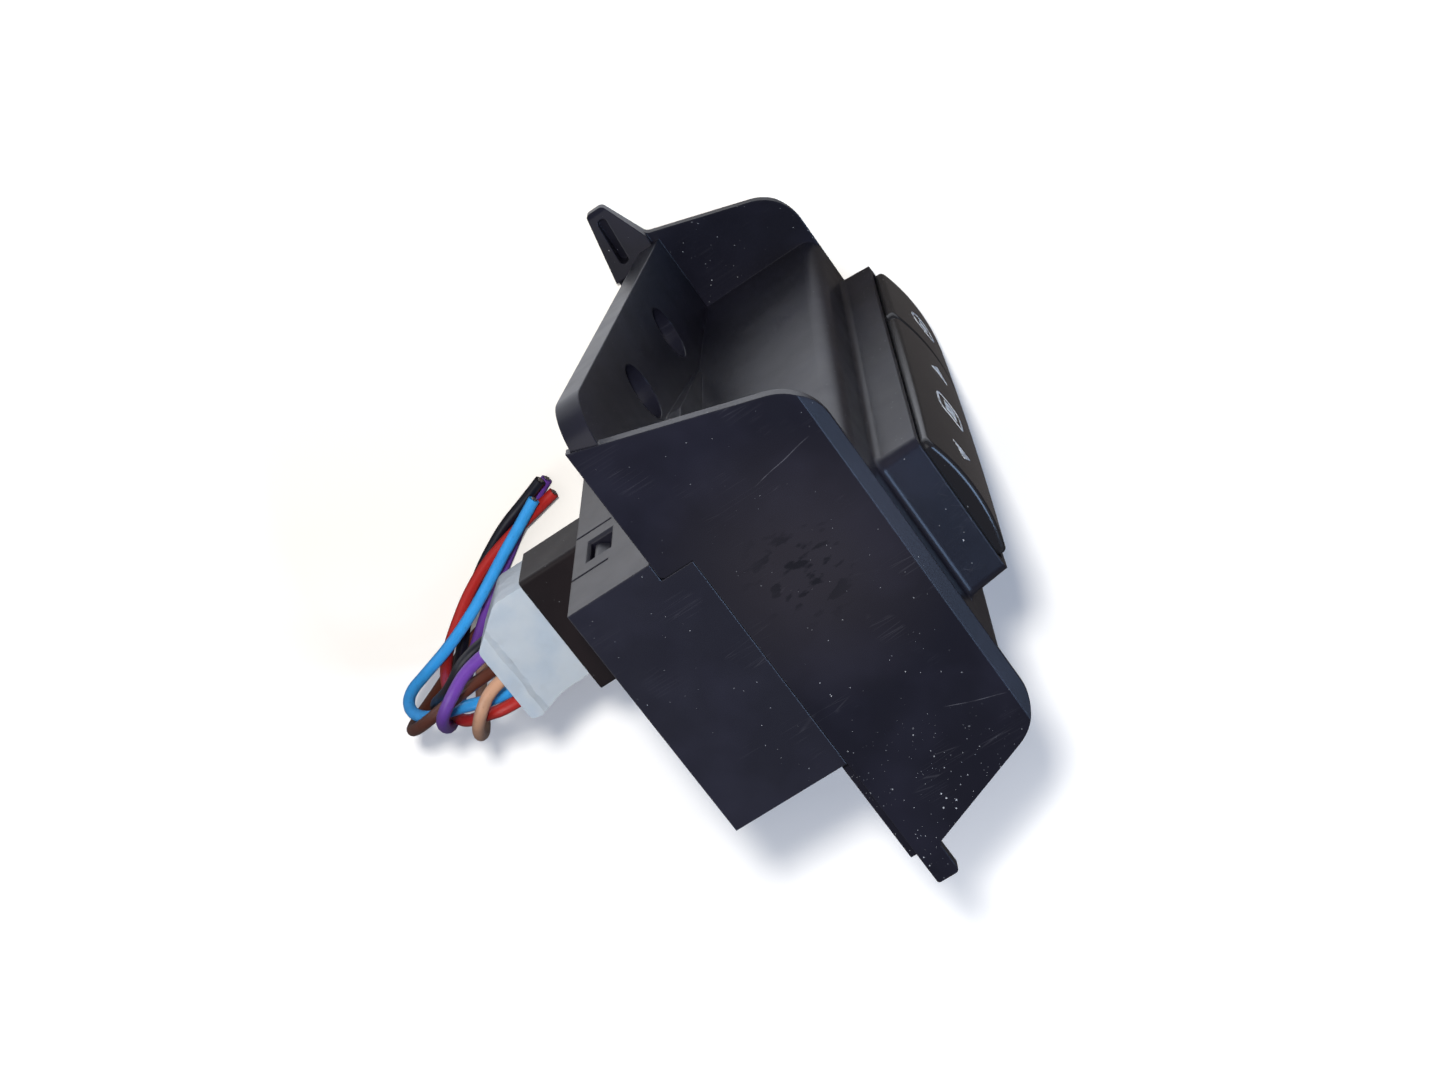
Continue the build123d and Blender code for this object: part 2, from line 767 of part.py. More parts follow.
def make_carrier():
    """The carrier plate behind the buttons, with guide tubes and board posts."""
    z0 = carrier_edge
    z1 = panel_width - carrier_edge
    rear = carrier_y + carrier_wall
    body = block(-carrier_half_x, carrier_half_x, carrier_y, rear, z0, z1)
    bore = plunger_side / 2 + guide_clearance
    shell = bore + guide_wall
    for z in plunger_heights.values():
        body += block(
            plunger_x - shell, plunger_x + shell, carrier_y, guide_end_y, z - shell, z + shell
        )
    for x, z in board_screws_at:
        body += rod_y(x, z, post_radius, carrier_y, board_y)
    for z in plunger_heights.values():
        body -= block(plunger_x - bore, plunger_x + bore, 0, board_y, z - bore, z + bore)
    stem_bore = guide_stem / 2 + guide_clearance / 2
    for stem_z, _, _ in guides_at.values():
        body -= block(
            guide_x - stem_bore, guide_x + stem_bore, 0, board_y,
            stem_z - stem_bore, stem_z + stem_bore,
        )
    for x, z in carrier_screws_at:
        body -= rod_y(x, z, screw_radius + screw_clearance, 0, board_y)
    for x, z in board_screws_at:
        body -= rod_y(x, z, screw_radius, board_y - screw_depth, board_y)
    return body


def make_light_guide(stem_z, length, head_z):
    """A clear light guide: a stem from the board and a bar behind the legends."""
    half = guide_stem / 2
    head_half = guide_head_x / 2
    collar_half = guide_collar / 2
    end = board_y - led_height - guide_gap
    guide = block(guide_x - half, guide_x + half, guide_head_y, end, stem_z - half, stem_z + half)
    guide += block(
        guide_x - head_half, guide_x + head_half,
        guide_head_y, guide_head_y + guide_head_thickness,
        head_z - length / 2, head_z + length / 2,
    )
    guide += block(
        guide_x - collar_half, guide_x + collar_half,
        carrier_y - guide_collar_height, carrier_y,
        stem_z - collar_half, stem_z + collar_half,
    )
    return guide


def make_mat():
    """The rubber mat on the board, with one hollow dome under each plunger."""
    z_low = min(plunger_heights.values()) - mat_half_x
    z_high = max(plunger_heights.values()) + mat_half_x
    base_front = board_y - mat_base
    body = block(
        plunger_x - mat_half_x, plunger_x + mat_half_x, base_front, board_y, z_low, z_high
    )
    dome_front = plunger_end_y + dome_gap
    dome_height = base_front - dome_front
    for z in plunger_heights.values():
        place = Pos(plunger_x, base_front - dome_height / 2, z) * Rot(90, 0, 0)
        body += place * Cone(dome_root_radius, dome_top_radius, dome_height)
    for z in plunger_heights.values():
        hollow = dome_height + mat_base - 2 * dome_wall
        place = Pos(plunger_x, board_y - hollow / 2, z) * Rot(90, 0, 0)
        body -= place * Cone(dome_root_radius - dome_wall, dome_top_radius - dome_wall, hollow)
    relief = pin_side / 2 + pin_relief
    for x in connector_columns:
        for z in connector_row_heights:
            body -= block(
                x - relief, x + relief, base_front - cut_over, board_y, z - relief, z + relief
            )
    return body


def make_board():
    """The circuit board, bored for its screws and for the connector's pins."""
    rear = board_y + board_thickness
    body = block(
        -board_half_x, board_half_x, board_y, rear, board_edge, panel_width - board_edge
    )
    for x, z in board_screws_at:
        body -= rod_y(
            x, z, screw_radius + screw_clearance, board_y - cut_over, rear + cut_over
        )
    half = pin_side / 2
    for x in connector_columns:
        for z in connector_row_heights:
            body -= block(
                x - half, x + half, board_y - cut_over, rear + cut_over, z - half, z + half
            )
    return body


def make_leds():
    """One lamp on the board under the stem of each light guide."""
    lamps = []
    for stem_z, _, _ in guides_at.values():
        lamps.append(block(
            guide_x - led_x / 2, guide_x + led_x / 2, board_y - led_height, board_y,
            stem_z - led_z / 2, stem_z + led_z / 2,
        ))
    return Compound(children=lamps)


def make_chip():
    """The control chip on the back of the board."""
    rear = board_y + board_thickness
    half = chip_side / 2
    z = rocker_z + plunger_arm
    return block(plunger_x - half, plunger_x + half, rear, rear + chip_height, z - half, z + half)


def make_resistors():
    """A row of small resistors on the back of the board."""
    rear = board_y + board_thickness
    pieces = []
    for i in range(resistor_count):
        z = push_z + chip_side / 2 + i * resistor_pitch
        pieces.append(block(
            plunger_x - resistor_length / 2, plunger_x + resistor_length / 2,
            rear, rear + resistor_height, z - resistor_width / 2, z + resistor_width / 2,
        ))
    return Compound(children=pieces)


def latch_cuts(body):
    """Cut the snap windows, with their bevels, and the slits beside each tongue."""
    for sign in (-1, 1):
        outer = sign * (half_box + cut_over)
        inner = sign * (half_box - housing_wall - cut_over)
        for z in latch_heights:
            y0 = latch_window_front
            y1 = y0 + latch_window_y
            z0 = z - latch_window_z / 2
            z1 = z + latch_window_z / 2
            body -= block(inner, outer, y0, y1, z0, z1)
            mouth = Plane(origin=(sign * half_box, (y0 + y1) / 2, z), z_dir=(sign, 0, 0),
                          x_dir=(0, 1, 0))
            frame = Rectangle(latch_window_y + 2 * window_bevel, latch_window_z + 2 * window_bevel)
            body -= extrude(mouth * frame, amount=-window_bevel, taper=45)
            for edge in (-1, 1):
                slit_z = z + edge * latch_tongue_z / 2
                body -= block(
                    inner, outer, latch_window_front, housing_rear + cut_over,
                    slit_z - latch_slit / 2, slit_z + latch_slit / 2,
                )
    return body


def make_rear_housing():
    """The rear housing: four walls with snap tongues and four screw lugs."""
    front = seam_y + seam_gap
    step_rear = cheek_depth + seam_gap
    body = block(-half_box, half_box, front, housing_rear, 0, panel_width)
    body -= block(
        -half_box + housing_wall, half_box - housing_wall,
        front - cut_over, housing_rear + cut_over, housing_wall, panel_width - housing_wall,
    )
    body -= block(
        half_box - bezel_wall - seam_gap, half_box + cut_over,
        front - cut_over, step_rear, -cut_over, panel_width + cut_over,
    )
    lug_rear = front + housing_lug_thickness
    for sign in (-1, 1):
        lug_outer = half_box - housing_wall
        if sign > 0:
            lug_outer = half_box - bezel_wall - seam_gap
        lug_inner = half_box - housing_wall - housing_lug
        for z_wall, z_lug in (
            (housing_wall / 2, cheek_wall + housing_lug),
            (panel_width - housing_wall / 2, panel_width - cheek_wall - housing_lug),
        ):
            body += block(sign * lug_inner, sign * lug_outer, front, lug_rear, z_wall, z_lug)
    far_step = (-cut_over, cheek_wall + seam_gap)
    near_step = (panel_width - cheek_wall - seam_gap, panel_width + cut_over)
    for z0, z1 in (far_step, near_step):
        body -= block(
            cheek_step_x - seam_gap, half_box + cut_over, front - cut_over, step_rear, z0, z1
        )
    for x, z in housing_screws_at:
        body -= rod_y(
            x, z, screw_radius + screw_clearance, front - cut_over, lug_rear + cut_over
        )
    return latch_cuts(body)


def make_rear_cover():
    """The cover that snaps into the back of the housing round the connector."""
    front = housing_rear - cover_thickness
    inner_x = half_box - housing_wall - cover_gap
    z0 = housing_wall + cover_gap
    body = block(-inner_x, inner_x, front, housing_rear, z0, panel_width - z0)
    for sign in (-1, 1):
        for z in latch_heights:
            body += hook(sign, z)
    half_x = shroud_x / 2 + cable_opening_gap
    half_z = shroud_z / 2 + cable_opening_gap
    body -= block(
        connector_x - half_x, connector_x + half_x, front - cut_over, housing_rear + cut_over,
        connector_z - half_z, connector_z + half_z,
    )
    return body


def connector_cavity(clearance, y0, y1):
    """The space inside the shroud, less a clearance on each side."""
    x0 = connector_x - shroud_x / 2 + shroud_thick_wall + clearance
    x1 = connector_x + shroud_x / 2 - shroud_wall - clearance
    half_z = shroud_z / 2 - shroud_wall - clearance
    return block(x0, x1, y0, y1, connector_z - half_z, connector_z + half_z)


def make_connector():
    """The dark shroud that is soldered to the board and sticks out of the cover."""
    start = board_y + board_thickness
    half_x = shroud_x / 2
    half_z = shroud_z / 2
    corners = [
        (connector_x - half_x, connector_z - half_z),
        (connector_x + half_x, connector_z - half_z),
        (connector_x + half_x, connector_z + half_z),
        (connector_x - half_x, connector_z + half_z),
    ]
    body = front_outline(corners, [shroud_corner_radius] * 4, start, shroud_end)
    body -= connector_cavity(0, shroud_floor, shroud_end + cut_over)
    half = pin_side / 2
    for x in connector_columns:
        for z in connector_row_heights:
            body -= block(
                x - half, x + half, start - cut_over, shroud_floor + cut_over,
                z - half, z + half,
            )
    return body


def make_pins():
    """The six square pins, from their soldered tails to their tips in the shroud."""
    half = pin_side / 2
    pins = []
    for x in connector_columns:
        for z in connector_row_heights:
            pins.append(
                block(x - half, x + half, board_y - pin_tail, pin_end, z - half, z + half)
            )
    return Compound(children=pins)


def make_plug():
    """The nylon plug: a nose in the shroud and a larger skewed head behind it."""
    nose_start = shroud_floor + plug_nose_gap
    body = connector_cavity(plug_fit, nose_start, shroud_end + plug_overlap)
    left = connector_x + shroud_x / 2 - shroud_wall + plug_step_left
    right = connector_x - shroud_x / 2 + shroud_thick_wall + plug_step_right
    points = [
        (left, shroud_end),
        (left, plug_end - plug_cut_y),
        (left - plug_cut_x, plug_end),
        (right - plug_flare + plug_tail_x, plug_end),
        (right - plug_flare, plug_end - plug_tail_y),
        (right - plug_neck_x, shroud_end + plug_neck_y),
        (right, shroud_end),
    ]
    radii = [
        0, plug_cut_radius, plug_cut_end_radius, plug_tail_radius, plug_tail_radius,
        plug_cut_radius, 0,
    ]
    half_z = plug_head_z / 2
    body += side_outline(points, radii, connector_z - half_z, connector_z + half_z)
    slot = terminal_side / 2 + terminal_fit
    hole = wire_diameter / 2 + wire_hole_gap
    for x in connector_columns:
        for z in connector_row_heights:
            body -= block(
                x - slot, x + slot, nose_start - cut_over, terminal_rear, z - slot, z + slot
            )
            body -= rod_y(x, z, hole, terminal_rear - cut_over, plug_end + cut_over)
    return body


def make_terminals():
    """The six box terminals in the plug, each open at its mouth for a pin."""
    half = terminal_side / 2
    mouth = pin_side / 2 + terminal_pin_gap
    pieces = []
    for x in connector_columns:
        for z in connector_row_heights:
            piece = block(x - half, x + half, terminal_front, terminal_rear, z - half, z + half)
            piece -= block(
                x - mouth, x + mouth,
                terminal_front - cut_over, terminal_front + terminal_mouth,
                z - mouth, z + mouth,
            )
            pieces.append(piece)
    return Compound(children=pieces)


def make_screws(places, seat_y):
    """A group of like screws whose heads sit at one depth, each with a square drive."""
    screws = []
    half = screw_drive_side / 2
    for x, z in places:
        screw = rod_y(x, z, screw_radius, seat_y - screw_depth, seat_y)
        screw += rod_y(x, z, screw_head_radius, seat_y, seat_y + screw_head_height)
        top = seat_y + screw_head_height
        screw -= block(
            x - half, x + half, top - screw_drive_depth, top + cut_over, z - half, z + half
        )
        screws.append(screw)
    return Compound(children=screws)


def make_wire(name):
    """A wire: straight runs joined by arcs as large as the runs beside them allow."""
    points = [Vector(*point) for point in wire_routes[name]]
    radii = []
    for before, corner, after in zip(points, points[1:], points[2:]):
        arriving = corner - before
        leaving = after - corner
        shorter = min(arriving.length, leaving.length)
        half_turn = math.radians(arriving.get_angle(leaving) / 2)
        radii.append(wire_arc_share * shorter / math.tan(half_turn))
    path = FilletPolyline(*points, radius=radii)
    section = Plane(origin=points[0], z_dir=points[1] - points[0]) * Circle(wire_diameter / 2)
    wire = sweep(section, path=path)
    expected = math.pi * (wire_diameter / 2) ** 2 * path.length
    print(name, "length", round(path.length, 1), "smallest radius", round(min(radii), 1),
          "volume", round(wire.volume, 1), "of", round(expected, 1))
    return wire


def write(name, shape):
    """Move a piece from the panel's axes to the part's origin and write it."""
    moved = [Pos(-origin_x, -origin_y, 0) * solid for solid in shape.solids()]
    piece = moved[0] if len(moved) == 1 else Compound(children=moved)
    export_step(piece, f"parts/{name}.step")


def main():
    os.makedirs("parts", exist_ok=True)
    write("bezel", make_bezel())
    write("rocker_cap", make_rocker_cap())
    write("push_cap", make_push_cap())
    write("pivot_pin", make_pivot_pin())
    for name, z in plunger_heights.items():
        gap = 0 if name == "push_plunger" else plunger_gap
        write(name, make_plunger(z, gap))
    write("button_carrier", make_carrier())
    for name, (stem_z, length, head_z) in guides_at.items():
        write(name, make_light_guide(stem_z, length, head_z))
    write("rubber_mat", make_mat())
    write("circuit_board", make_board())
    write("leds", make_leds())
    write("control_chip", make_chip())
    write("resistors", make_resistors())
    write("connector_shroud", make_connector())
    write("connector_pins", make_pins())
    write("rear_housing", make_rear_housing())
    write("rear_cover", make_rear_cover())
    write("plug_housing", make_plug())
    write("plug_terminals", make_terminals())
    write("carrier_screws", make_screws(carrier_screws_at, carrier_y + carrier_wall))
    write("board_screws", make_screws(board_screws_at, board_y + board_thickness))
    lug_rear = seam_y + seam_gap + housing_lug_thickness
    write("housing_screws", make_screws(housing_screws_at, lug_rear))
    for name in wire_routes:
        export_step(make_wire(name), f"parts/{name}.step")


main()
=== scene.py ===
"""Finishes, cut wires, plug and button marks of a two-button dashboard switch panel.

The panel lies on its far cheek. X runs to the screw flange, -Y is the side of the buttons,
+Y the side of the wiring plug, and Z runs up to the near cheek. Lengths are metres.
"""
import math

import bmesh
import bpy
from bpy.props import FloatProperty, FloatVectorProperty, PointerProperty
from mathutils import Matrix, Vector
from mathutils.bvhtree import BVHTree


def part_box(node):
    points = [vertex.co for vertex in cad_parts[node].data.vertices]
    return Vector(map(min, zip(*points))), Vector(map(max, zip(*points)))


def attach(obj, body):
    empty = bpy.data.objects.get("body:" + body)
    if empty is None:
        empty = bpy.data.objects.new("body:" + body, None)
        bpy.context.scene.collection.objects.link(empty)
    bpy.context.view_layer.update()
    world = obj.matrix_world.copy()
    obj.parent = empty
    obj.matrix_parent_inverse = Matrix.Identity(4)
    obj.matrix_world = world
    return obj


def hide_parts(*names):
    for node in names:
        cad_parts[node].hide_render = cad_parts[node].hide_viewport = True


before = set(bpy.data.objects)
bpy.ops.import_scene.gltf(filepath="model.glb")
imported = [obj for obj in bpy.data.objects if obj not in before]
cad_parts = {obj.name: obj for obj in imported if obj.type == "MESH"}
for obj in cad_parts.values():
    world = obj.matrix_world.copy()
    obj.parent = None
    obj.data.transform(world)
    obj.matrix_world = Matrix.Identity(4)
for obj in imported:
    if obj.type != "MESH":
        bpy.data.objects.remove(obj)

bl_info = {
    "name": "Dashboard Switch Panel",
    "version": (1, 0, 0),
    "blender": (4, 5, 0),
    "location": "3D View > Sidebar > Switch Panel",
    "description": "Finishes, cut wires, plug and button marks of a dashboard switch panel",
    "category": "Object",
}

MM = 0.001
BODY = "panel"

# Each wire's route in millimetres, from its terminal to its cut end
WIRE_ROUTES = {
    "blue": [
        (-2.3, 39.3, 57.1), (-2.3, 49.3, 57.1), (-1.3, 59.3, 51.5), (-3.0, 67.9, 43.5),
        (-3.0, 73.6, 35.0), (-2.2, 74.5, 27.5), (-2.9, 71.5, 20.5), (-2.9, 66.9, 14.5),
        (-1.7, 61.9, 10.4), (0.8, 56.0, 7.8), (4.2, 49.4, 6.5), (7.1, 43.4, 6.3),
        (9.9, 37.8, 5.9),
    ],
    "brown": [
        (3.1, 39.3, 57.1), (3.1, 48.8, 57.1), (1.4, 58.9, 54.6), (-1.4, 67.3, 49.0),
        (-5.0, 74.5, 38.5), (-7.8, 77.0, 27.0), (-9.5, 75.7, 15.5), (-10.0, 73.3, 7.0),
        (-9.3, 69.8, 2.4), (-8.2, 66.1, 1.2), (-7.4, 62.8, 1.2),
    ],
    "violet": [
        (8.5, 39.3, 62.7), (8.5, 47.8, 62.7), (4.6, 55.6, 63.2), (0.0, 61.5, 57.6),
        (-7.8, 66.9, 41.3), (-8.9, 67.5, 28.0), (-8.7, 66.4, 15.5), (-7.1, 63.9, 6.8),
        (-4.3, 59.8, 2.4), (-1.0, 54.8, 1.2), (2.7, 48.9, 1.2), (7.4, 42.0, 1.2),
        (10.6, 34.6, 1.2),
    ],
    "tan": [
        (3.1, 39.3, 62.7), (3.1, 47.3, 62.7), (-1.9, 54.3, 61.0), (-7.7, 59.3, 52.5),
        (-11.9, 62.3, 41.0), (-12.5, 64.1, 30.5), (-11.7, 65.2, 21.0), (-9.3, 63.8, 14.8),
        (-7.2, 61.3, 9.3), (-5.1, 57.9, 5.2), (-2.6, 53.4, 4.0),
    ],
    "red": [
        (-2.3, 39.3, 62.7), (-2.3, 48.3, 62.7), (-3.5, 54.0, 56.5), (-5.1, 60.1, 50.0),
        (-5.4, 63.8, 43.8), (-5.7, 66.3, 33.4), (-5.9, 69.5, 20.0), (-5.3, 69.8, 9.6),
        (-2.9, 66.3, 5.2), (0.6, 60.9, 4.1), (3.7, 54.4, 3.7), (5.6, 47.7, 3.6),
        (6.9, 41.0, 3.6), (8.1, 34.6, 3.2),
    ],
    "black": [
        (8.5, 39.3, 57.1), (8.5, 49.3, 57.1), (1.7, 59.0, 50.0), (-3.4, 68.3, 37.2),
        (-8.6, 71.0, 28.2), (-9.8, 71.2, 20.5), (-9.3, 70.2, 13.5), (-8.1, 68.9, 6.5),
        (-5.4, 66.3, 2.8), (-1.7, 62.4, 1.4), (2.1, 57.4, 1.2), (5.1, 52.0, 1.2),
        (7.7, 46.6, 1.7), (9.7, 40.7, 3.1), (11.7, 35.1, 3.7),
    ],
}

# Copper strands at a cut end: how many, and in radii how far apart and how thin at the tip
STRAND_COUNT = 7
STRAND_SPACING = 2.05
STRAND_TAPER = 0.85

# Places on the near cheek: rubbed by handling, thick with lint, and the fine scratches
CHEEK_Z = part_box("bezel")[1][2]
RUBBED_PLACE = (0.008, -0.018, CHEEK_Z)
LINT_PLACE = (-0.041, -0.014, CHEEK_Z)
CHEEK_SCRATCHES = (
    ((0.0229, -0.0195, CHEEK_Z), (0.0250, -0.0307, CHEEK_Z)),
    ((-0.0230, -0.0228, CHEEK_Z), (-0.0265, -0.0322, CHEEK_Z)),
    ((-0.0060, -0.0060, CHEEK_Z), (0.0020, 0.0020, CHEEK_Z)),
)

# Marks on the caps: how far they stand off the middle towards the screw flange, and their sizes
MARK_X = 1.5 * MM
FRAME_HALF_WIDTH = 3.4 * MM
FRAME_HALF_HEIGHT = 4.0 * MM
FRAME_SQUARENESS = 4
ROCKER_BAR = (1.5 * MM, 2.0 * MM)
PUSH_BAR = (1.1 * MM, 1.1 * MM)
RING_RADIUS = 3.4 * MM
ARROW_RADIUS = 2.6 * MM
ARROW_SHARE_OF_REACH = 0.62

# Colours that lie over the main colour of a finish
SCRATCH_COLOR = (0.14, 0.14, 0.16)
HAIR_SCRATCH_COLOR = (0.10, 0.10, 0.115)
RUBBED_COLOR = (0.0190, 0.0165, 0.0195)
PIT_COLOR = (0.0035, 0.0035, 0.0050)
NYLON_CLOUD_COLOR = (0.33, 0.395, 0.47)
NYLON_GRIME_COLOR = (0.36, 0.35, 0.33)
# Painted shade: a darker blue-grey laid on the plug's nylon in front of its ridge
NYLON_RIDGE_SHADE_COLOR = (0.30, 0.36, 0.44)
BARE_COPPER_COLOR = (0.55, 0.36, 0.24)
WORN_PRINT_COLOR = (0.035, 0.035, 0.038)
BOARD_WEAVE_COLOR = (0.020, 0.130, 0.050)
BOARD_TRACK_COLOR = (0.035, 0.180, 0.060)

# Stretches that draw a pattern out into lines along one axis
LINES_ALONG_Y = (1.0, 0.035, 1.0)
LINES_ALONG_Z = (1.0, 1.0, 0.035)

# Camera: where it stands and how it is turned, found from the panel's own corners
CAMERA_PLACE = (0.13385, -0.0869, 0.4329)
CAMERA_RIGHT = (-0.569, -0.822, 0.0084)
CAMERA_BACK = (0.326, -0.216, 0.920)
CAMERA_LENS = 60.0
CAMERA_SENSOR = 36.0
CAMERA_SEES_FROM = 0.01
CAMERA_SEES_TO = 20.0

# Lamps: place, side, power in watts and colour, all aimed at the middle of the panel
LAMPS = {
    "near_lamp": ((0.176, -0.087, 0.433), 0.026, 2.1, (1.0, 0.99, 0.97)),
    "key_lamp": ((0.90, 0.35, 1.4), 1.2, 3.5, (1.0, 0.98, 0.95)),
    "window_lamp": ((-0.45, -1.05, 1.25), 0.75, 10.0, (0.42, 0.63, 1.0)),
    "back_lamp": ((0.1, 1.7, 0.9), 1.2, 7.5, (0.97, 0.98, 1.0)),
}
LAMP_AIM = Vector((0.0, 0.0, 0.05))
SMALL_LAMP_SIDE = 0.1

# Light of the room from the horizon upwards, and the white that the camera sees instead
ROOM_LOW = (0.243, 0.252, 0.288, 1.0)
ROOM_HIGH = (0.099, 0.099, 0.135, 1.0)
ROOM_LOW_TO = 0.10
ROOM_HIGH_FROM = 0.80
WHITE = (1.0, 1.0, 1.0, 1.0)

# Light that the camera sees on the floor beside what falls on it, near the panel and far off
FLOOR_GLOW_NEAR = 0.07
FLOOR_GLOW_FAR = 0.80
SHADOW_MIDDLE = (0.0, 0.010, 0.0)
SHADOW_REACH = (0.080, 0.200)

# What the panel's own surfaces see of the floor: dim and warm on one side, pale on the other
DIM_FLOOR = (0.080, 0.070, 0.064)
PALE_FLOOR = (0.68, 0.68, 0.69)
DIM_FLOOR_TO_X = 0.022
PALE_FLOOR_FROM_X = 0.048


def color_property(name, description, default):
    """A colour that a user can change."""
    return FloatVectorProperty(
        name=name, description=description, default=default, size=3, min=0.0, max=1.0,
        subtype="COLOR",
    )


def length_property(name, description, default):
    """A length in metres that a user can change."""
    return FloatProperty(
        name=name, description=description, default=default, min=0.0, precision=5,
        unit="LENGTH", subtype="DISTANCE",
    )


def factor_property(name, description, default):
    """A share from 0 to 1 that a user can change."""
    return FloatProperty(
        name=name, description=description, default=default, min=0.0, max=1.0,
        subtype="FACTOR",
    )


class SwitchPanelSizes(bpy.types.PropertyGroup):
    """Sizes of the pieces that are added to the panel."""

    wire_diameter: length_property("Wire", "Outer diameter of a wire", 2.3 * MM)
    strand_radius: length_property("Strand", "Radius of one copper strand", 0.21 * MM)
    strand_reach: length_property("Strand reach", "How far strands stand out", 0.3 * MM)
    strand_bury: length_property("Strand start", "Where strands start in the wire", 2.0 * MM)
    mark_height: length_property("Mark height", "How thick a printed mark is", 0.03 * MM)
    mark_line: length_property("Mark line", "Width of a mark's line", 0.55 * MM)
    edge_round: length_property("Edge", "Rounding that an edge's shading shows", 0.3 * MM)
    plug_edge: length_property("Plug edge", "Rounding of the plug's edges", 0.55 * MM)
    plug_shoulder: length_property("Plug shoulder", "Rounding above the wires", 1.7 * MM)
    floor_side: length_property("Floor", "Side of the floor under the panel", 6.0)


class SwitchPanelFinish(bpy.types.PropertyGroup):
    """Colours and finishes of the panel."""

    bezel: color_property("Bezel", "Satin moulding of the bezel", (0.0055, 0.0055, 0.0095))
    housing: color_property("Housing", "Rear housing and its cover", (0.0060, 0.0060, 0.0105))
    cap: color_property("Caps", "Gloss of the button caps", (0.0080, 0.0080, 0.0090))
    shroud: color_property("Shroud", "Brown-black connector shroud", (0.0060, 0.0040, 0.0042))
    nylon: color_property("Nylon", "Natural nylon of the plug", (0.41, 0.455, 0.495))
    mark: color_property("Marks", "Printed marks on the caps", (0.75, 0.78, 0.80))
    copper: color_property("Copper", "Tinned copper strands", (0.72, 0.66, 0.60))
    steel: color_property("Steel", "Drawn steel of the pivot pin", (0.50, 0.50, 0.51))
    dust: color_property("Dust", "Dust and lint on the surfaces", (0.45, 0.47, 0.50))
    blue: color_property("Blue wire", "Insulation of the blue wire", (0.035, 0.300, 0.700))
    brown: color_property("Brown wire", "Insulation of the brown wire", (0.085, 0.024, 0.013))
    violet: color_property("Violet wire", "Insulation of the violet wire", (0.130, 0.045, 0.300))
    tan: color_property("Tan wire", "Insulation of the tan wire", (0.480, 0.270, 0.170))
    red: color_property("Red wire", "Insulation of the red wire", (0.370, 0.018, 0.014))
    black: color_property("Black wire", "Insulation of the black wire", (0.006, 0.006, 0.011))
    floor: color_property("Floor", "Pale floor", (0.90, 0.87, 0.815))
    wear: factor_property("Wear", "How strongly scratches and dust show", 1.0)


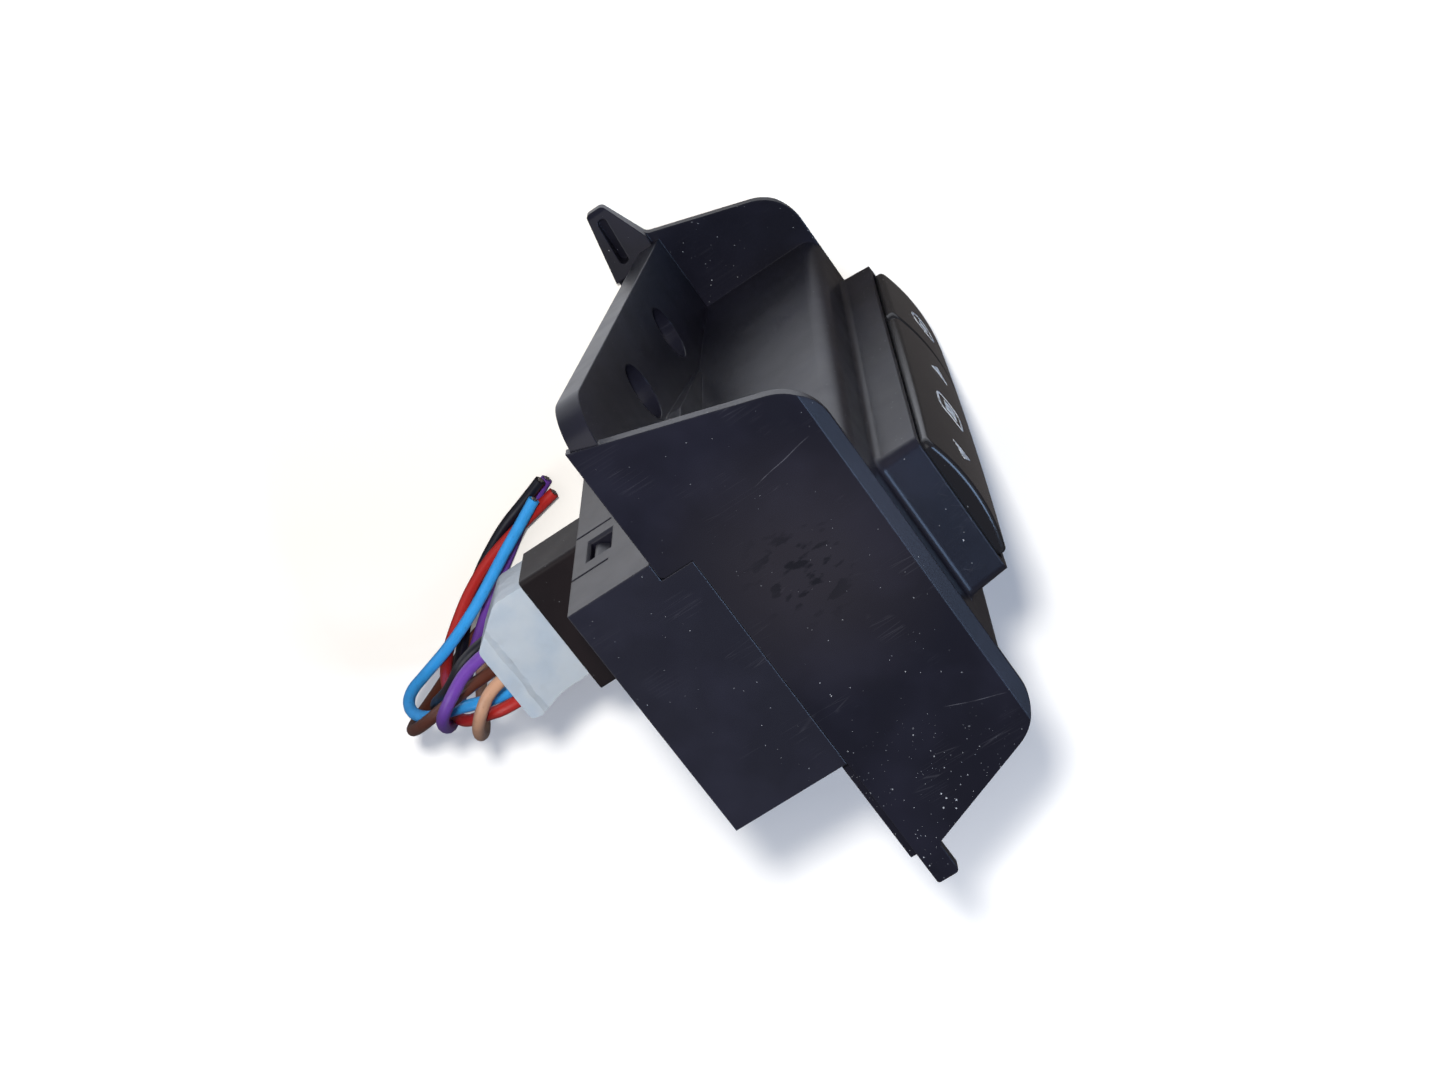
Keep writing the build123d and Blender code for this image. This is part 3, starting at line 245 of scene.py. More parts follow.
class Finish:
    """One node material, drawn on the piece's Object coordinates."""

    def __init__(self, name, color, roughness):
        self.material = bpy.data.materials.new(name)
        self.material.use_nodes = True
        self.tree = self.material.node_tree
        self.shader = self.tree.nodes["Principled BSDF"]
        self.shader.inputs["Base Color"].default_value = (*color, 1.0)
        self.shader.inputs["Roughness"].default_value = roughness
        self.place = self.add("ShaderNodeTexCoord").outputs["Object"]
        self.color = self.constant(color)
        self.rough = None
        self.normal = None

    def add(self, kind, **settings):
        """A new node, with its settings."""
        node = self.tree.nodes.new(kind)
        for key, value in settings.items():
            setattr(node, key, value)
        return node

    def join(self, source, target):
        """Link an output to an input."""
        self.tree.links.new(source, target)

    def constant(self, color):
        """A colour as an output that mixes can start from."""
        node = self.add("ShaderNodeRGB")
        node.outputs[0].default_value = (*color, 1.0)
        return node.outputs[0]

    def stretched(self, stretch, turn=(0.0, 0.0, 0.0)):
        """Object coordinates, turned and stretched."""
        node = self.add("ShaderNodeMapping")
        node.inputs["Rotation"].default_value = turn
        node.inputs["Scale"].default_value = stretch
        self.join(self.place, node.inputs["Vector"])
        return node.outputs["Vector"]

    def noise(self, size, detail=2.0, place=None, output="Fac"):
        """Soft noise whose patches are about a size across, from 0 to 1."""
        node = self.add("ShaderNodeTexNoise")
        node.inputs["Scale"].default_value = 1.0 / size
        node.inputs["Detail"].default_value = detail
        self.join(place or self.place, node.inputs["Vector"])
        return node.outputs[output]

    def cells(self, size, feature, place=None):
        """Cells of about a size, with the distance to their middles or their edges."""
        node = self.add("ShaderNodeTexVoronoi", feature=feature)
        node.inputs["Scale"].default_value = 1.0 / size
        self.join(place or self.place, node.inputs["Vector"])
        return node.outputs

    def band(self, value, low, high, at_low=0.0, at_high=1.0):
        """The value moved from one range to another, and held inside it."""
        node = self.add("ShaderNodeMapRange", clamp=True)
        self.join(value, node.inputs["Value"])
        range_ends = {"From Min": low, "From Max": high, "To Min": at_low, "To Max": at_high}
        for key, number in range_ends.items():
            node.inputs[key].default_value = number
        return node.outputs["Result"]

    def fade(self, value, low, high):
        """1 where the value is low, falling to 0 where it is high."""
        return self.band(value, low, high, at_low=1.0, at_high=0.0)

    def math(self, operation, first, second=0.0):
        """Two values put together, or one changed by itself."""
        node = self.add("ShaderNodeMath", operation=operation)
        for socket, value in zip(node.inputs, (first, second)):
            if isinstance(value, (int, float)):
                socket.default_value = value
            else:
                self.join(value, socket)
        return node.outputs[0]

    def times(self, first, *others):
        """Values multiplied together."""
        for other in others:
            first = self.math("MULTIPLY", first, other)
        return first

    def vectors(self, operation, first, second, output="Vector"):
        """Two vectors put together, the second from a node or given as it is."""
        node = self.add("ShaderNodeVectorMath", operation=operation)
        self.join(first, node.inputs[0])
        if isinstance(second, bpy.types.NodeSocket):
            self.join(second, node.inputs[1])
        else:
            node.inputs[1].default_value = second
        return node.outputs[output]

    def axis(self, name, vector=None):
        """One axis of a vector, or else of the Object coordinates."""
        parts = self.add("ShaderNodeSeparateXYZ")
        self.join(vector or self.place, parts.inputs["Vector"])
        return parts.outputs[name]

    def near(self, middle, inner, outer):
        """1 within a distance of a point, fading to 0 further out."""
        return self.fade(self.vectors("DISTANCE", self.place, middle, "Value"), inner, outer)

    def faces_along(self, axis):
        """1 on the faces that look along an axis or against it, 0 on the others."""
        facing = self.axis(axis, self.add("ShaderNodeTexCoord").outputs["Normal"])
        return self.band(self.math("ABSOLUTE", facing), 0.85, 0.95)

    def tint(self, factor, color):
        """Lay a colour over what there is, by a factor."""
        node = self.add("ShaderNodeMix", data_type="RGBA")
        self.join(factor, node.inputs["Factor"])
        self.join(self.color, node.inputs["A"])
        node.inputs["B"].default_value = (*color, 1.0)
        self.color = node.outputs["Result"]

    def set_rough(self, factor, low, high):
        """Roughness between two values, by a factor."""
        self.rough = self.band(factor, 0.0, 1.0, low, high)

    def add_rough(self, factor, amount):
        """More roughness where a factor is high."""
        self.rough = self.math("ADD", self.rough, self.times(factor, amount))

    def round_edges(self, radius):
        """Shade the edges as if they were rounded."""
        node = self.add("ShaderNodeBevel", samples=6)
        node.inputs["Radius"].default_value = radius
        self.normal = node.outputs["Normal"]

    def bump(self, height, depth, strength):
        """Raise and lower the surface by a pattern."""
        node = self.add("ShaderNodeBump")
        node.inputs["Strength"].default_value = strength
        node.inputs["Distance"].default_value = depth
        self.join(height, node.inputs["Height"])
        if self.normal:
            self.join(self.normal, node.inputs["Normal"])
        self.normal = node.outputs["Normal"]

    def done(self, **sockets):
        """Join everything to the shader and give the material."""
        self.join(self.color, self.shader.inputs["Base Color"])
        if self.rough:
            self.join(self.rough, self.shader.inputs["Roughness"])
        if self.normal:
            self.join(self.normal, self.shader.inputs["Normal"])
        for key, value in sockets.items():
            self.shader.inputs[key.replace("_", " ")].default_value = value
        return self.material


def sizes():
    """Sizes that the user can change."""
    return bpy.context.scene.switch_panel_sizes


def finishes():
    """Colours and wear that the user can change."""
    return bpy.context.scene.switch_panel_finish


def paint(name):
    """One of the colours that the user can change."""
    return tuple(getattr(finishes(), name))


def scaled(color, share, lift=0.0):
    """A share of a colour, with a little added to it."""
    return tuple(share * part + lift for part in color)


def dust_specks(finish, wear):
    """Small pale specks of dust, thick in some places and missing in others."""
    crowd = finish.band(finish.noise(14.0 * MM, 1.0), 0.42, 0.58)
    coarse = finish.times(some_specks(finish, 1.6 * MM, 0.70, 0.08), crowd)
    fine = finish.times(some_specks(finish, 0.8 * MM, 0.80, 0.12), crowd)
    specks = finish.math("MAXIMUM", coarse, fine)
    finish.tint(finish.times(specks, 0.6 * wear), paint("dust"))
    return specks


def some_specks(finish, size, empty_share, reach):
    """Round specks in cells of a size, leaving a share of the cells empty."""
    drift = finish.noise(0.5 * size, output="Color")
    bend = finish.vectors("MULTIPLY", drift, (0.25 * size, 0.25 * size, 0.25 * size))
    cells = finish.cells(size, "F1", finish.vectors("ADD", finish.place, bend))
    chance = finish.add("ShaderNodeSeparateColor")
    finish.join(cells["Color"], chance.inputs["Color"])
    chosen = finish.band(chance.outputs["Red"], empty_share, empty_share + 0.04)
    wide = finish.band(chance.outputs["Green"], 0.0, 1.0, 0.4 * reach, reach)
    return finish.times(finish.math("LESS_THAN", cells["Distance"], wide), chosen)


def long_scratch(finish, start, end, width, strength):
    """One fine scratch between two places on a cheek, a little bent and broken."""
    along = Vector(end) - Vector(start)
    sideways = along.cross(Vector((0.0, 0.0, 1.0))).normalized()
    from_start = finish.vectors("SUBTRACT", finish.place, start)
    share = finish.vectors("DOT_PRODUCT", from_start, along / along.length_squared, "Value")
    after_start = finish.band(share, 0.0, 0.12)
    before_end = finish.fade(share, 0.80, 1.0)
    across = finish.vectors("DOT_PRODUCT", from_start, sideways, "Value")
    bend = finish.band(finish.noise(6.0 * MM, 0.0), 0.3, 0.7, -1.5 * width, 1.5 * width)
    off = finish.math("ABSOLUTE", finish.math("ADD", across, bend))
    line = finish.fade(off, 0.3 * width, width)
    uneven = finish.band(finish.noise(2.0 * MM, 2.0), 0.35, 0.60, at_low=0.25)
    shown = finish.times(line, after_start, before_end, uneven, strength)
    beside = finish.near((Vector(start) + Vector(end)) / 2, 0.6 * along.length, along.length)
    on_cheek = finish.times(beside, finish.faces_along("Z"))
    finish.tint(finish.times(shown, on_cheek), SCRATCH_COLOR)


def hair_scratches(finish, axis, stretch, turn, strength):
    """Fine long scratches on the faces that look along an axis, broken by noise."""
    place = finish.stretched(stretch, turn)
    lines = finish.cells(1.6 * MM, "DISTANCE_TO_EDGE", place)["Distance"]
    thin = finish.fade(lines, 0.0, 0.012)
    broken = finish.band(finish.noise(9.0 * MM, 2.0), 0.56, 0.64)
    scratch = finish.times(thin, broken, finish.faces_along(axis))
    finish.tint(finish.times(scratch, strength * finishes().wear), HAIR_SCRATCH_COLOR)


def satin_moulding(name, color, roughness, grain):
    """Black moulded plastic with fine grain, smudges, dust and scratches."""
    finish = Finish(name, color, roughness)
    cloud = finish.noise(16.0 * MM, 3.0)
    finish.tint(finish.band(cloud, 0.45, 0.70, at_high=0.6), scaled(color, 2.2))
    smudge = finish.band(finish.noise(7.0 * MM, 3.0), 0.3, 0.7)
    finish.set_rough(smudge, roughness - 0.01, roughness + 0.06)
    finish.round_edges(sizes().edge_round)
    finish.bump(finish.noise(grain, 1.0), 0.012 * MM, 0.5)
    for angle, strength in ((0.6, 0.16), (-0.9, 0.12)):
        hair_scratches(finish, "Z", LINES_ALONG_Y, (0.0, 0.0, angle), strength)
    dust_specks(finish, finishes().wear)
    return finish


def bezel_finish():
    """The bezel's moulding, with the rubbed patch, scratches and lint of the near cheek."""
    finish = satin_moulding("bezel_satin", paint("bezel"), roughness=0.29, grain=0.22 * MM)
    rubbed = finish.near(RUBBED_PLACE, 5.0 * MM, 24.0 * MM)
    finish.tint(finish.times(rubbed, 0.6), RUBBED_COLOR)
    dents = finish.noise(1.6 * MM, 3.0, finish.stretched((1.0, 0.45, 1.0), (0.0, 0.0, 0.9)))
    middle = finish.near(RUBBED_PLACE, 3.0 * MM, 10.0 * MM)
    pits = finish.times(middle, finish.band(dents, 0.55, 0.62))
    finish.tint(finish.times(pits, 0.8), PIT_COLOR)
    finish.add_rough(rubbed, 0.05)
    for start, end in CHEEK_SCRATCHES:
        long_scratch(finish, start, end, 0.09 * MM, 0.35 * finishes().wear)
    corner = finish.near(LINT_PLACE, 5.0 * MM, 21.0 * MM)
    for size, empty_share in ((1.2 * MM, 0.40), (0.6 * MM, 0.48)):
        lint = finish.times(some_specks(finish, size, empty_share, 0.13), corner)
        finish.tint(finish.times(lint, 0.75 * finishes().wear), paint("dust"))
    return finish.done(Specular_IOR_Level=0.5)


def housing_finish():
    """The rear housing and its cover."""
    finish = satin_moulding("housing_satin", paint("housing"), roughness=0.31, grain=0.30 * MM)
    return finish.done(Specular_IOR_Level=1.0)


def shroud_finish():
    """The brown-black shroud, duller than the bezel."""
    finish = satin_moulding("shroud_satin", paint("shroud"), roughness=0.46, grain=0.35 * MM)
    return finish.done(Specular_IOR_Level=0.5)


def cap_finish():
    """Polished black caps with fine scratches and dust."""
    finish = Finish("cap_gloss", paint("cap"), 0.16)
    finish.set_rough(finish.noise(5.0 * MM, 3.0), 0.12, 0.24)
    finish.round_edges(sizes().edge_round)
    finish.bump(finish.noise(2.5 * MM, 1.0), 0.01 * MM, 0.25)
    hair_scratches(finish, "Y", LINES_ALONG_Z, (0.0, 0.5, 0.0), 0.10)
    specks = dust_specks(finish, 0.7 * finishes().wear)
    finish.add_rough(specks, 0.1)
    return finish.done(Coat_Weight=0.35, Coat_Roughness=0.08)


def nylon_finish():
    """Natural nylon: milky and cloudy, with a soft ridge in front of the shoulder and painted
    shade on the nylon in front of the ridge.
    """
    finish = Finish("plug_nylon", paint("nylon"), 0.38)
    cloud = finish.noise(6.0 * MM, 3.0)
    finish.tint(finish.band(cloud, 0.42, 0.66, at_high=0.8), NYLON_CLOUD_COLOR)
    grime = finish.band(finish.noise(3.0 * MM, 4.0), 0.58, 0.76, at_high=0.3)
    finish.tint(grime, NYLON_GRIME_COLOR)
    finish.set_rough(finish.noise(2.0 * MM, 2.0), 0.28, 0.42)
    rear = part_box("plug_housing")[1][1]
    waver = finish.band(cloud, 0.3, 0.7, at_high=0.8 * MM)
    edge = finish.math("ADD", finish.axis("Y"), waver)
    ridge = finish.fade(edge, rear - 3.4 * MM, rear - 2.2 * MM)
    # Painted shade: the nylon in front of the ridge is darkened towards blue-grey and the strip
    # behind it is left paler, as light and shade across the ridge
    finish.tint(finish.times(ridge, 0.25), NYLON_RIDGE_SHADE_COLOR)
    finish.bump(ridge, 0.7 * MM, 0.8)
    finish.bump(finish.noise(3.6 * MM, 1.5), 0.45 * MM, 0.7)
    return finish.done(
        Subsurface_Weight=0.15, Subsurface_Scale=1.0,
        Subsurface_Radius=(1.2 * MM, 1.4 * MM, 1.7 * MM),
    )


def insulation_finish(name, color):
    """Extruded insulation: smooth, with faint grease and handling marks."""
    finish = Finish("insulation_" + name, color, 0.34)
    soft = finish.noise(2.6 * MM, 3.0)
    finish.tint(finish.band(soft, 0.45, 0.75, at_high=0.35), scaled(color, 0.62))
    grime = finish.band(finish.noise(0.8 * MM, 3.0), 0.62, 0.75, at_high=0.35)
    finish.tint(grime, scaled(color, 0.35, lift=0.01))
    finish.set_rough(finish.band(finish.noise(1.5 * MM, 2.0), 0.3, 0.7), 0.285, 0.37)
    finish.bump(finish.noise(0.5 * MM, 2.0), 0.01 * MM, 0.5)
    return finish.done(Specular_IOR_Level=0.5)


def strand_finish():
    """Tinned copper strands, dull where the blade cut them."""
    finish = Finish("strand_copper", paint("copper"), 0.35)
    bare = finish.band(finish.noise(0.3 * MM, 2.0), 0.5, 0.7, at_high=0.6)
    finish.tint(bare, BARE_COPPER_COLOR)
    finish.set_rough(finish.noise(0.2 * MM, 2.0), 0.25, 0.5)
    return finish.done(Metallic=1.0)


def mark_finish():
    """The printed marks, a little worn."""
    finish = Finish("mark_print", paint("mark"), 0.45)
    worn = finish.band(finish.noise(0.9 * MM, 3.0), 0.55, 0.66, at_high=0.85)
    finish.tint(worn, WORN_PRINT_COLOR)
    finish.set_rough(finish.noise(0.6 * MM, 2.0), 0.38, 0.55)
    return finish.done()


def metal_finish(name, color, low, high, stretch):
    """Drawn or plated metal with fine lines along one direction."""
    finish = Finish(name, color, low)
    lines = finish.noise(0.4 * MM, 3.0, finish.stretched(stretch))
    finish.tint(finish.band(lines, 0.45, 0.70, at_high=0.5), scaled(color, 0.6))
    finish.set_rough(lines, low, high)
    finish.bump(lines, 0.01 * MM, 0.4)
    return finish.done(Metallic=1.0)


def plain_moulding(name, color, roughness, coat=0.0):
    """Natural or dark moulded plastic of the inner parts."""
    finish = Finish(name, color, roughness)
    cloud = finish.band(finish.noise(5.0 * MM, 3.0), 0.40, 0.70, at_high=0.4)
    finish.tint(cloud, scaled(color, 0.8))
    finish.set_rough(finish.noise(1.5 * MM, 2.0), roughness - 0.08, roughness + 0.10)
    finish.round_edges(0.5 * sizes().edge_round)
    finish.bump(finish.noise(0.4 * MM, 2.0), 0.01 * MM, 0.5)
    return finish.done(Coat_Weight=coat)


def board_finish():
    """Green solder mask over a faint weave, with paler tracks under it."""
    finish = Finish("board_mask", (0.010, 0.085, 0.030), 0.32)
    weave = finish.noise(0.25 * MM, 1.0, finish.stretched((1.0, 1.0, 0.3)))
    finish.tint(finish.band(weave, 0.45, 0.65, at_high=0.4), BOARD_WEAVE_COLOR)
    tracks = finish.cells(4.5 * MM, "DISTANCE_TO_EDGE")["Distance"]
    finish.tint(finish.band(tracks, 0.04, 0.06, 0.5, 0.0), BOARD_TRACK_COLOR)
    finish.set_rough(weave, 0.25, 0.42)
    finish.bump(weave, 0.01 * MM, 0.3)
    return finish.done(Coat_Weight=0.3)


def clear_finish():
    """Clear light guides with a faintly frosted surface."""
    finish = Finish("guide_clear", (0.86, 0.90, 0.94), 0.12)
    finish.set_rough(finish.noise(2.0 * MM, 2.0), 0.08, 0.22)
    finish.bump(finish.noise(0.8 * MM, 2.0), 0.01 * MM, 0.4)
    return finish.done(Transmission_Weight=0.85, IOR=1.49)


def dress(node_name, material):
    """Give a node of the frame its material."""
    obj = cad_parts[node_name]
    obj.data.materials.clear()
    obj.data.materials.append(material)


def put_in_scene(name, data):
    """A new object at the origin, in the scene."""
    obj = bpy.data.objects.new(name, data)
    bpy.context.scene.collection.objects.link(obj)
    return obj


def mesh_object(name, mesh_data, material, smooth=True):
    """A finished mesh as an object."""
    mesh = bpy.data.meshes.new(name)
    mesh_data.to_mesh(mesh)
    mesh_data.free()
    for face in mesh.polygons:
        face.use_smooth = smooth
    mesh.materials.append(material)
    return put_in_scene(name, mesh)


def bake_modifiers(obj):
    """Apply the modifiers of an object to its mesh."""
    graph = bpy.context.evaluated_depsgraph_get()
    mesh = bpy.data.meshes.new_from_object(obj.evaluated_get(graph))
    obj.modifiers.clear()
    obj.data = mesh


class SWITCHPANEL_OT_stage(bpy.types.Operator):
    """Pale floor, soft lamps, world and camera"""

    bl_idname = "switchpanel.stage"
    bl_label = "Stage"

    def execute(self, context):
        self.floor()
        self.world()
        self.lamps()
        self.camera()
        return {"FINISHED"}

    def floor(self):
        """White with soft shadows for the camera, and duller for what the panel mirrors."""
        plate = bmesh.new()
        bmesh.ops.create_grid(plate, x_segments=1, y_segments=1, size=sizes().floor_side / 2)
        finish = Finish("floor_pale", DIM_FLOOR, 0.9)
        pale = finish.band(finish.axis("X"), DIM_FLOOR_TO_X, PALE_FLOOR_FROM_X)
        finish.tint(pale, PALE_FLOOR)
        camera_ray = finish.add("ShaderNodeLightPath").outputs["Is Camera Ray"]
        finish.tint(camera_ray, paint("floor"))
        close = finish.near(SHADOW_MIDDLE, *SHADOW_REACH)
        glow = finish.band(close, 0.0, 1.0, FLOOR_GLOW_FAR, FLOOR_GLOW_NEAR)
        finish.join(finish.times(camera_ray, glow), finish.shader.inputs["Emission Strength"])
        material = finish.done(Specular_IOR_Level=0.1, Emission_Color=WHITE)
        mesh_object("floor", plate, material, False)

    def world(self):
        """White behind the floor for the camera, and a room that is dim overhead."""
        world = bpy.data.worlds.new("soft_room")
        bpy.context.scene.world = world
        world.use_nodes = True
        nodes = world.node_tree.nodes
        links = world.node_tree.links
        height = nodes.new("ShaderNodeSeparateXYZ")
        links.new(nodes.new("ShaderNodeTexCoord").outputs["Generated"], height.inputs["Vector"])
        ramp = nodes.new("ShaderNodeValToRGB")
        low, high = ramp.color_ramp.elements
        low.position = ROOM_LOW_TO
        low.color = ROOM_LOW
        high.position = ROOM_HIGH_FROM
        high.color = ROOM_HIGH
        links.new(height.outputs["Z"], ramp.inputs["Fac"])
        backdrop = nodes.new("ShaderNodeMix")
        backdrop.data_type = "RGBA"
        backdrop.inputs["B"].default_value = WHITE
        camera_ray = nodes.new("ShaderNodeLightPath").outputs["Is Camera Ray"]
        links.new(camera_ray, backdrop.inputs["Factor"])
        links.new(ramp.outputs["Color"], backdrop.inputs["A"])
        links.new(backdrop.outputs["Result"], nodes["Background"].inputs["Color"])

    def lamps(self):
        """Square lamps round the panel. Only the large ones show in glossy surfaces."""
        for name, (place, side, power, color) in LAMPS.items():
            data = bpy.data.lights.new(name, "AREA")
            data.shape = "SQUARE"
            data.size = side
            data.energy = power
            data.color = color
            lamp = put_in_scene(name, data)
            lamp.visible_glossy = side > SMALL_LAMP_SIDE
            turn = (LAMP_AIM - Vector(place)).to_track_quat("-Z", "Y").to_matrix().to_4x4()
            lamp.matrix_world = Matrix.Translation(place) @ turn

    def camera(self):
        """The camera, where it stood for the photo."""
        data = bpy.data.cameras.new("camera")
        data.sensor_width = CAMERA_SENSOR
        data.lens = CAMERA_LENS
        data.clip_start = CAMERA_SEES_FROM
        data.clip_end = CAMERA_SEES_TO
        camera = put_in_scene("camera", data)
        back = Vector(CAMERA_BACK).normalized()
        up = back.cross(Vector(CAMERA_RIGHT)).normalized()
        right = up.cross(back)
        turn = Matrix((right, up, back)).transposed().to_4x4()
        camera.matrix_world = Matrix.Translation(CAMERA_PLACE) @ turn
        bpy.context.scene.camera = camera
        bpy.context.scene.view_settings.view_transform = "Standard"


class SWITCHPANEL_OT_wires(bpy.types.Operator):
    """Six cut wires with their strands"""

    bl_idname = "switchpanel.wires"
    bl_label = "Wires"

    def execute(self, context):
        copper = strand_finish()
        for name, route in WIRE_ROUTES.items():
            points = [Vector(point) * MM for point in route]
            wire = self.wire(name + "_wire", points, insulation_finish(name, paint(name)))
            strands = self.strands(name + "_strands", points, copper)
            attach(wire, BODY)
            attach(strands, BODY)
            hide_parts("wire_" + name)
        return {"FINISHED"}

    def wire(self, name, points, material):
        """A smooth curve with the route's points as its control points."""
        curve = bpy.data.curves.new(name, "CURVE")
        curve.dimensions = "3D"
        curve.bevel_depth = sizes().wire_diameter / 2
        curve.bevel_resolution = 5
        curve.resolution_u = 10
        curve.use_fill_caps = True
        spline = curve.splines.new("NURBS")
        spline.points.add(len(points) - 1)
        for target, point in zip(spline.points, points):
            target.co = (*point, 1.0)
        spline.order_u = 3
        spline.use_endpoint_u = True
        curve.materials.append(material)
        return put_in_scene(name, curve)

    def strands(self, name, points, material):
        """Copper strands that show at the cut end: one in the middle and a ring of six."""
        radius = sizes().strand_radius
        along = (points[-1] - points[-2]).normalized()
        length = sizes().strand_bury + sizes().strand_reach
        middle = points[-1] + along * (sizes().strand_reach - length / 2)
        turn = along.to_track_quat("Z", "Y").to_matrix().to_4x4()
        bundle = bmesh.new()
        for index in range(STRAND_COUNT):
            ring = 0.0 if index == 0 else STRAND_SPACING * radius
            angle = index * 2 * math.pi / (STRAND_COUNT - 1)
            offset = Vector((ring * math.cos(angle), ring * math.sin(angle), 0.0))
            bmesh.ops.create_cone(
                bundle, cap_ends=True, segments=10, radius1=radius,
                radius2=STRAND_TAPER * radius, depth=length,
                matrix=Matrix.Translation(middle) @ turn @ Matrix.Translation(offset),
            )
        return mesh_object(name, bundle, material)


class SWITCHPANEL_OT_mouldings(bpy.types.Operator):
    """Finishes of the bezel, the rear housing, its cover and the shroud"""

    bl_idname = "switchpanel.mouldings"
    bl_label = "Mouldings"

    def execute(self, context):
        dress("bezel", bezel_finish())
        housing = housing_finish()
        dress("rear_housing", housing)
        dress("rear_cover", housing)
        dress("connector_shroud", shroud_finish())
        return {"FINISHED"}


class SWITCHPANEL_OT_caps(bpy.types.Operator):
    """Gloss and printed marks of the two button caps"""

    bl_idname = "switchpanel.caps"
    bl_label = "Button Caps"

    def execute(self, context):
        gloss = cap_finish()
        dress("rocker_cap", gloss)
        dress("push_cap", gloss)
        ink = mark_finish()
        middle, reach = self.middle_and_reach("rocker_cap")
        marks = bmesh.new()
        self.frame_mark(marks, middle)
        self.bar_mark(marks, middle, ROCKER_BAR)
        for side in (-1, 1):
            self.arrow_mark(marks, middle + side * ARROW_SHARE_OF_REACH * reach, side)
        self.lay_on(marks, "rocker_cap", "rocker_marks", "rocker", ink)
        middle, reach = self.middle_and_reach("push_cap")
        marks = bmesh.new()
        self.ring_mark(marks, middle)
        self.bar_mark(marks, middle, PUSH_BAR)
        self.lay_on(marks, "push_cap", "push_marks", "push_button", ink)
        return {"FINISHED"}

    def middle_and_reach(self, node_name):
        """A cap's middle along Z, and how far it reaches from there to its ends."""
        low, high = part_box(node_name)
        return (low[2] + high[2]) / 2, (high[2] - low[2]) / 2

    def flat_place(self, z):
        """Stand a flat drawing in the plane of the buttons, at a height."""
        return Matrix.Translation((MARK_X, 0.0, z)) @ Matrix.Rotation(math.pi / 2, 4, "X")

    def edges_between(self, marks, verts):
        """The edges that join some of the vertices, in the drawing's own order."""
        chosen = set(verts)
        return [edge for edge in marks.edges if chosen.issuperset(edge.verts)]

    def outline(self, marks, verts, z):
        """Turn a closed loop of vertices into a flat line, inwards."""
        middle = Vector((MARK_X, 0.0, z))
        grown = bmesh.ops.extrude_edge_only(marks, edges=self.edges_between(marks, verts))
        for vert in grown["geom"]:
            if isinstance(vert, bmesh.types.BMVert):
                away = vert.co - middle
                vert.co = vert.co - away.normalized() * sizes().mark_line

    def ring_mark(self, marks, z):
        """A plain ring."""
        place = self.flat_place(z)
        made = bmesh.ops.create_circle(marks, segments=40, radius=RING_RADIUS, matrix=place)
        self.outline(marks, made["verts"], z)

    def frame_mark(self, marks, z):
        """A rounded frame, longer than it is wide."""
        shape = Matrix.Diagonal((FRAME_HALF_WIDTH, FRAME_HALF_HEIGHT, 1.0, 1.0))
        place = self.flat_place(z) @ shape
        made = bmesh.ops.create_circle(marks, segments=48, radius=1.0, matrix=place)
        power = FRAME_SQUARENESS
        for vert in made["verts"]:
            share_x = (vert.co.x - MARK_X) / FRAME_HALF_WIDTH
            share_z = (vert.co.z - z) / FRAME_HALF_HEIGHT
            grow = (abs(share_x) ** power + abs(share_z) ** power) ** (-1.0 / power)
            vert.co.x = MARK_X + share_x * grow * FRAME_HALF_WIDTH
            vert.co.z = z + share_z * grow * FRAME_HALF_HEIGHT
        self.outline(marks, made["verts"], z)

    def bar_mark(self, marks, z, half_size):
        """A small solid bar."""
        place = self.flat_place(z) @ Matrix.Diagonal((*half_size, 1.0, 1.0))
        bmesh.ops.create_grid(marks, x_segments=6, y_segments=6, size=1.0, matrix=place)

    def arrow_mark(self, marks, z, side):
        """A solid triangle that points to an end of the rocker."""
        place = self.flat_place(z) @ Matrix.Rotation(0.0 if side > 0 else math.pi, 4, "Z")
        made = bmesh.ops.create_circle(
            marks, segments=3, radius=ARROW_RADIUS, cap_ends=True, matrix=place
        )
        edges = self.edges_between(marks, made["verts"])
        bmesh.ops.subdivide_edges(marks, edges=edges, cuts=5, use_grid_fill=True)

    def lay_on(self, marks, node_name, name, body, material):
        """Drop the marks on a cap's crowned face and give them their thickness."""
        graph = bpy.context.evaluated_depsgraph_get()
        tree = BVHTree.FromObject(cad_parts[node_name], graph)
        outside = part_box(node_name)[0][1] - 1.0 * MM
        for vert in marks.verts:
            start = Vector((vert.co.x, outside, vert.co.z))
            vert.co.y = tree.ray_cast(start, Vector((0.0, 1.0, 0.0)))[0].y
        bmesh.ops.recalc_face_normals(marks, faces=marks.faces)
        for face in marks.faces:
            if face.normal.y > 0:
                face.normal_flip()
        bmesh.ops.solidify(marks, geom=marks.faces[:], thickness=-sizes().mark_height)
        bmesh.ops.recalc_face_normals(marks, faces=marks.faces)
        obj = mesh_object(name, marks, material, False)
        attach(obj, body)


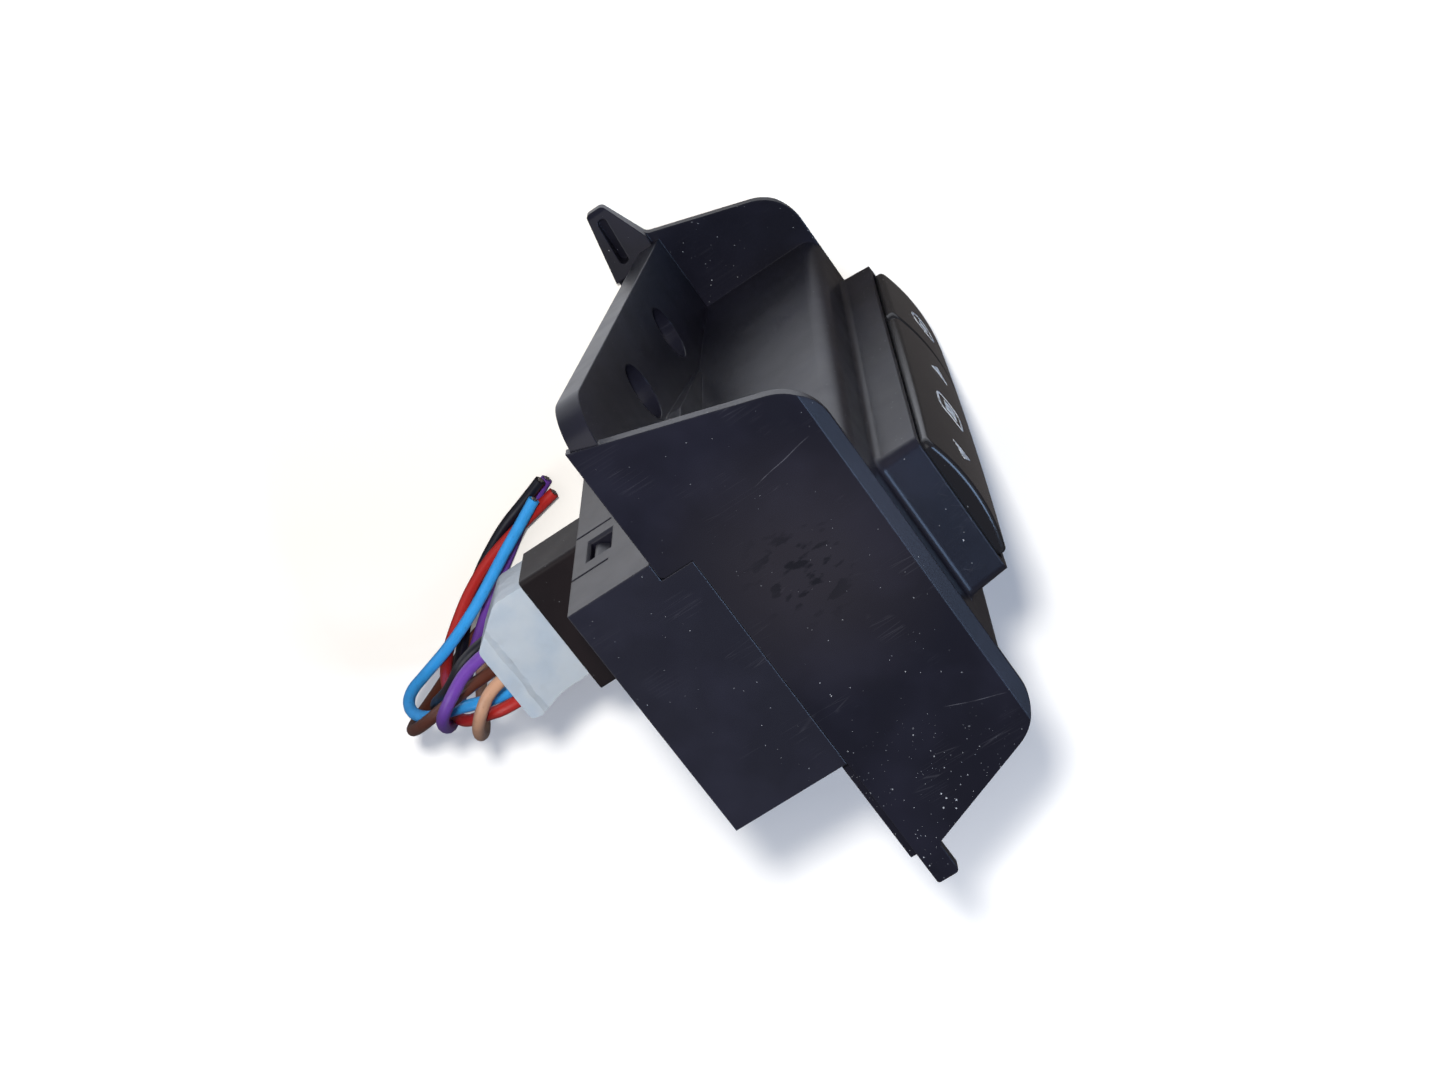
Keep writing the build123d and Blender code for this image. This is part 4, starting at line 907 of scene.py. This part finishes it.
class SWITCHPANEL_OT_plug(bpy.types.Operator):
    """Nylon plug with soft edges and a rounded rear shoulder"""

    bl_idname = "switchpanel.plug"
    bl_label = "Plug"

    def execute(self, context):
        shape = bmesh.new()
        shape.from_mesh(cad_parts["plug_housing"].data)
        bmesh.ops.remove_doubles(shape, verts=shape.verts, dist=0.001 * MM)
        bmesh.ops.dissolve_limit(
            shape, angle_limit=math.radians(1.0), verts=shape.verts, edges=shape.edges
        )
        self.shoulder(shape)
        plug = mesh_object("plug_body", shape, nylon_finish())
        self.soften(plug)
        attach(plug, BODY)
        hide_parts("plug_housing")
        return {"FINISHED"}

    def shoulder(self, shape):
        """Round the near edge that faces the wires, well above their holes."""
        shape.normal_update()
        nearly_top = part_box("plug_housing")[1][2] - 0.01 * MM
        edges = [
            edge for edge in shape.edges
            if all(vert.co.z > nearly_top for vert in edge.verts)
            and any(face.normal.y > 0.8 for face in edge.link_faces)
        ]
        bmesh.ops.bevel(
            shape, geom=edges, offset=sizes().plug_shoulder, offset_type="OFFSET",
            affect="EDGES", segments=5, profile=0.5, material=-1, clamp_overlap=True,
        )

    def soften(self, obj):
        """Round the sharp edges that are left."""
        bevel = obj.modifiers.new("soft_edges", "BEVEL")
        bevel.width = sizes().plug_edge
        bevel.segments = 3
        bevel.limit_method = "ANGLE"
        bevel.angle_limit = math.radians(40.0)
        bevel.use_clamp_overlap = True
        bake_modifiers(obj)


class SWITCHPANEL_OT_inner_parts(bpy.types.Operator):
    """Finishes of the parts inside the panel"""

    bl_idname = "switchpanel.inner_parts"
    bl_label = "Inner Parts"

    def execute(self, context):
        natural = plain_moulding("inner_natural", (0.52, 0.52, 0.49), 0.42)
        white = plain_moulding("plunger_white", (0.62, 0.62, 0.60), 0.38)
        rubber = plain_moulding("mat_silicone", (0.33, 0.34, 0.35), 0.60)
        chip = plain_moulding("chip_black", (0.016, 0.016, 0.017), 0.45)
        lamp = plain_moulding("lamp_body", (0.72, 0.68, 0.46), 0.30, coat=0.4)
        tin = metal_finish("contact_tin", (0.62, 0.61, 0.58), 0.28, 0.42, (0.2, 1.0, 1.0))
        steel = metal_finish("pin_steel", paint("steel"), 0.22, 0.38, (0.05, 1.0, 1.0))
        zinc = metal_finish("screw_zinc", (0.045, 0.045, 0.048), 0.35, 0.50, (1.0, 0.2, 1.0))
        dressed = {
            natural: ("button_carrier",),
            white: ("push_plunger", "rocker_plunger_far", "rocker_plunger_near"),
            rubber: ("rubber_mat",),
            chip: ("control_chip", "resistors"),
            lamp: ("leds",),
            tin: ("connector_pins", "plug_terminals"),
            steel: ("pivot_pin",),
            zinc: ("carrier_screws", "board_screws", "housing_screws"),
            clear_finish(): ("push_light_guide", "rocker_light_guide"),
            board_finish(): ("circuit_board",),
        }
        for material, names in dressed.items():
            for name in names:
                dress(name, material)
        return {"FINISHED"}


class SWITCHPANEL_PT_sidebar(bpy.types.Panel):
    """Sizes, finishes and steps of the switch panel"""

    bl_idname = "SWITCHPANEL_PT_sidebar"
    bl_label = "Switch Panel"
    bl_space_type = "VIEW_3D"
    bl_region_type = "UI"
    bl_category = "Switch Panel"

    def draw(self, context):
        for step in STEPS:
            self.layout.operator(step.bl_idname)
        for group in (sizes(), finishes()):
            box = self.layout.box()
            for key in group.__annotations__:
                box.prop(group, key)


STEPS = (
    SWITCHPANEL_OT_stage,
    SWITCHPANEL_OT_wires,
    SWITCHPANEL_OT_mouldings,
    SWITCHPANEL_OT_caps,
    SWITCHPANEL_OT_plug,
    SWITCHPANEL_OT_inner_parts,
)
CLASSES = (SwitchPanelSizes, SwitchPanelFinish) + STEPS + (SWITCHPANEL_PT_sidebar,)


def register():
    """Register the classes and keep the sizes and finishes with the scene."""
    for item in CLASSES:
        bpy.utils.register_class(item)
    bpy.types.Scene.switch_panel_sizes = PointerProperty(type=SwitchPanelSizes)
    bpy.types.Scene.switch_panel_finish = PointerProperty(type=SwitchPanelFinish)


def unregister():
    """Take back what register has done."""
    del bpy.types.Scene.switch_panel_finish
    del bpy.types.Scene.switch_panel_sizes
    for item in reversed(CLASSES):
        bpy.utils.unregister_class(item)


def main():
    """Build the whole switch panel."""
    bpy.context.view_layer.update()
    register()
    for step in STEPS:
        area, name = step.bl_idname.split(".")
        getattr(getattr(bpy.ops, area), name)()


if __name__ == "__main__":
    main()
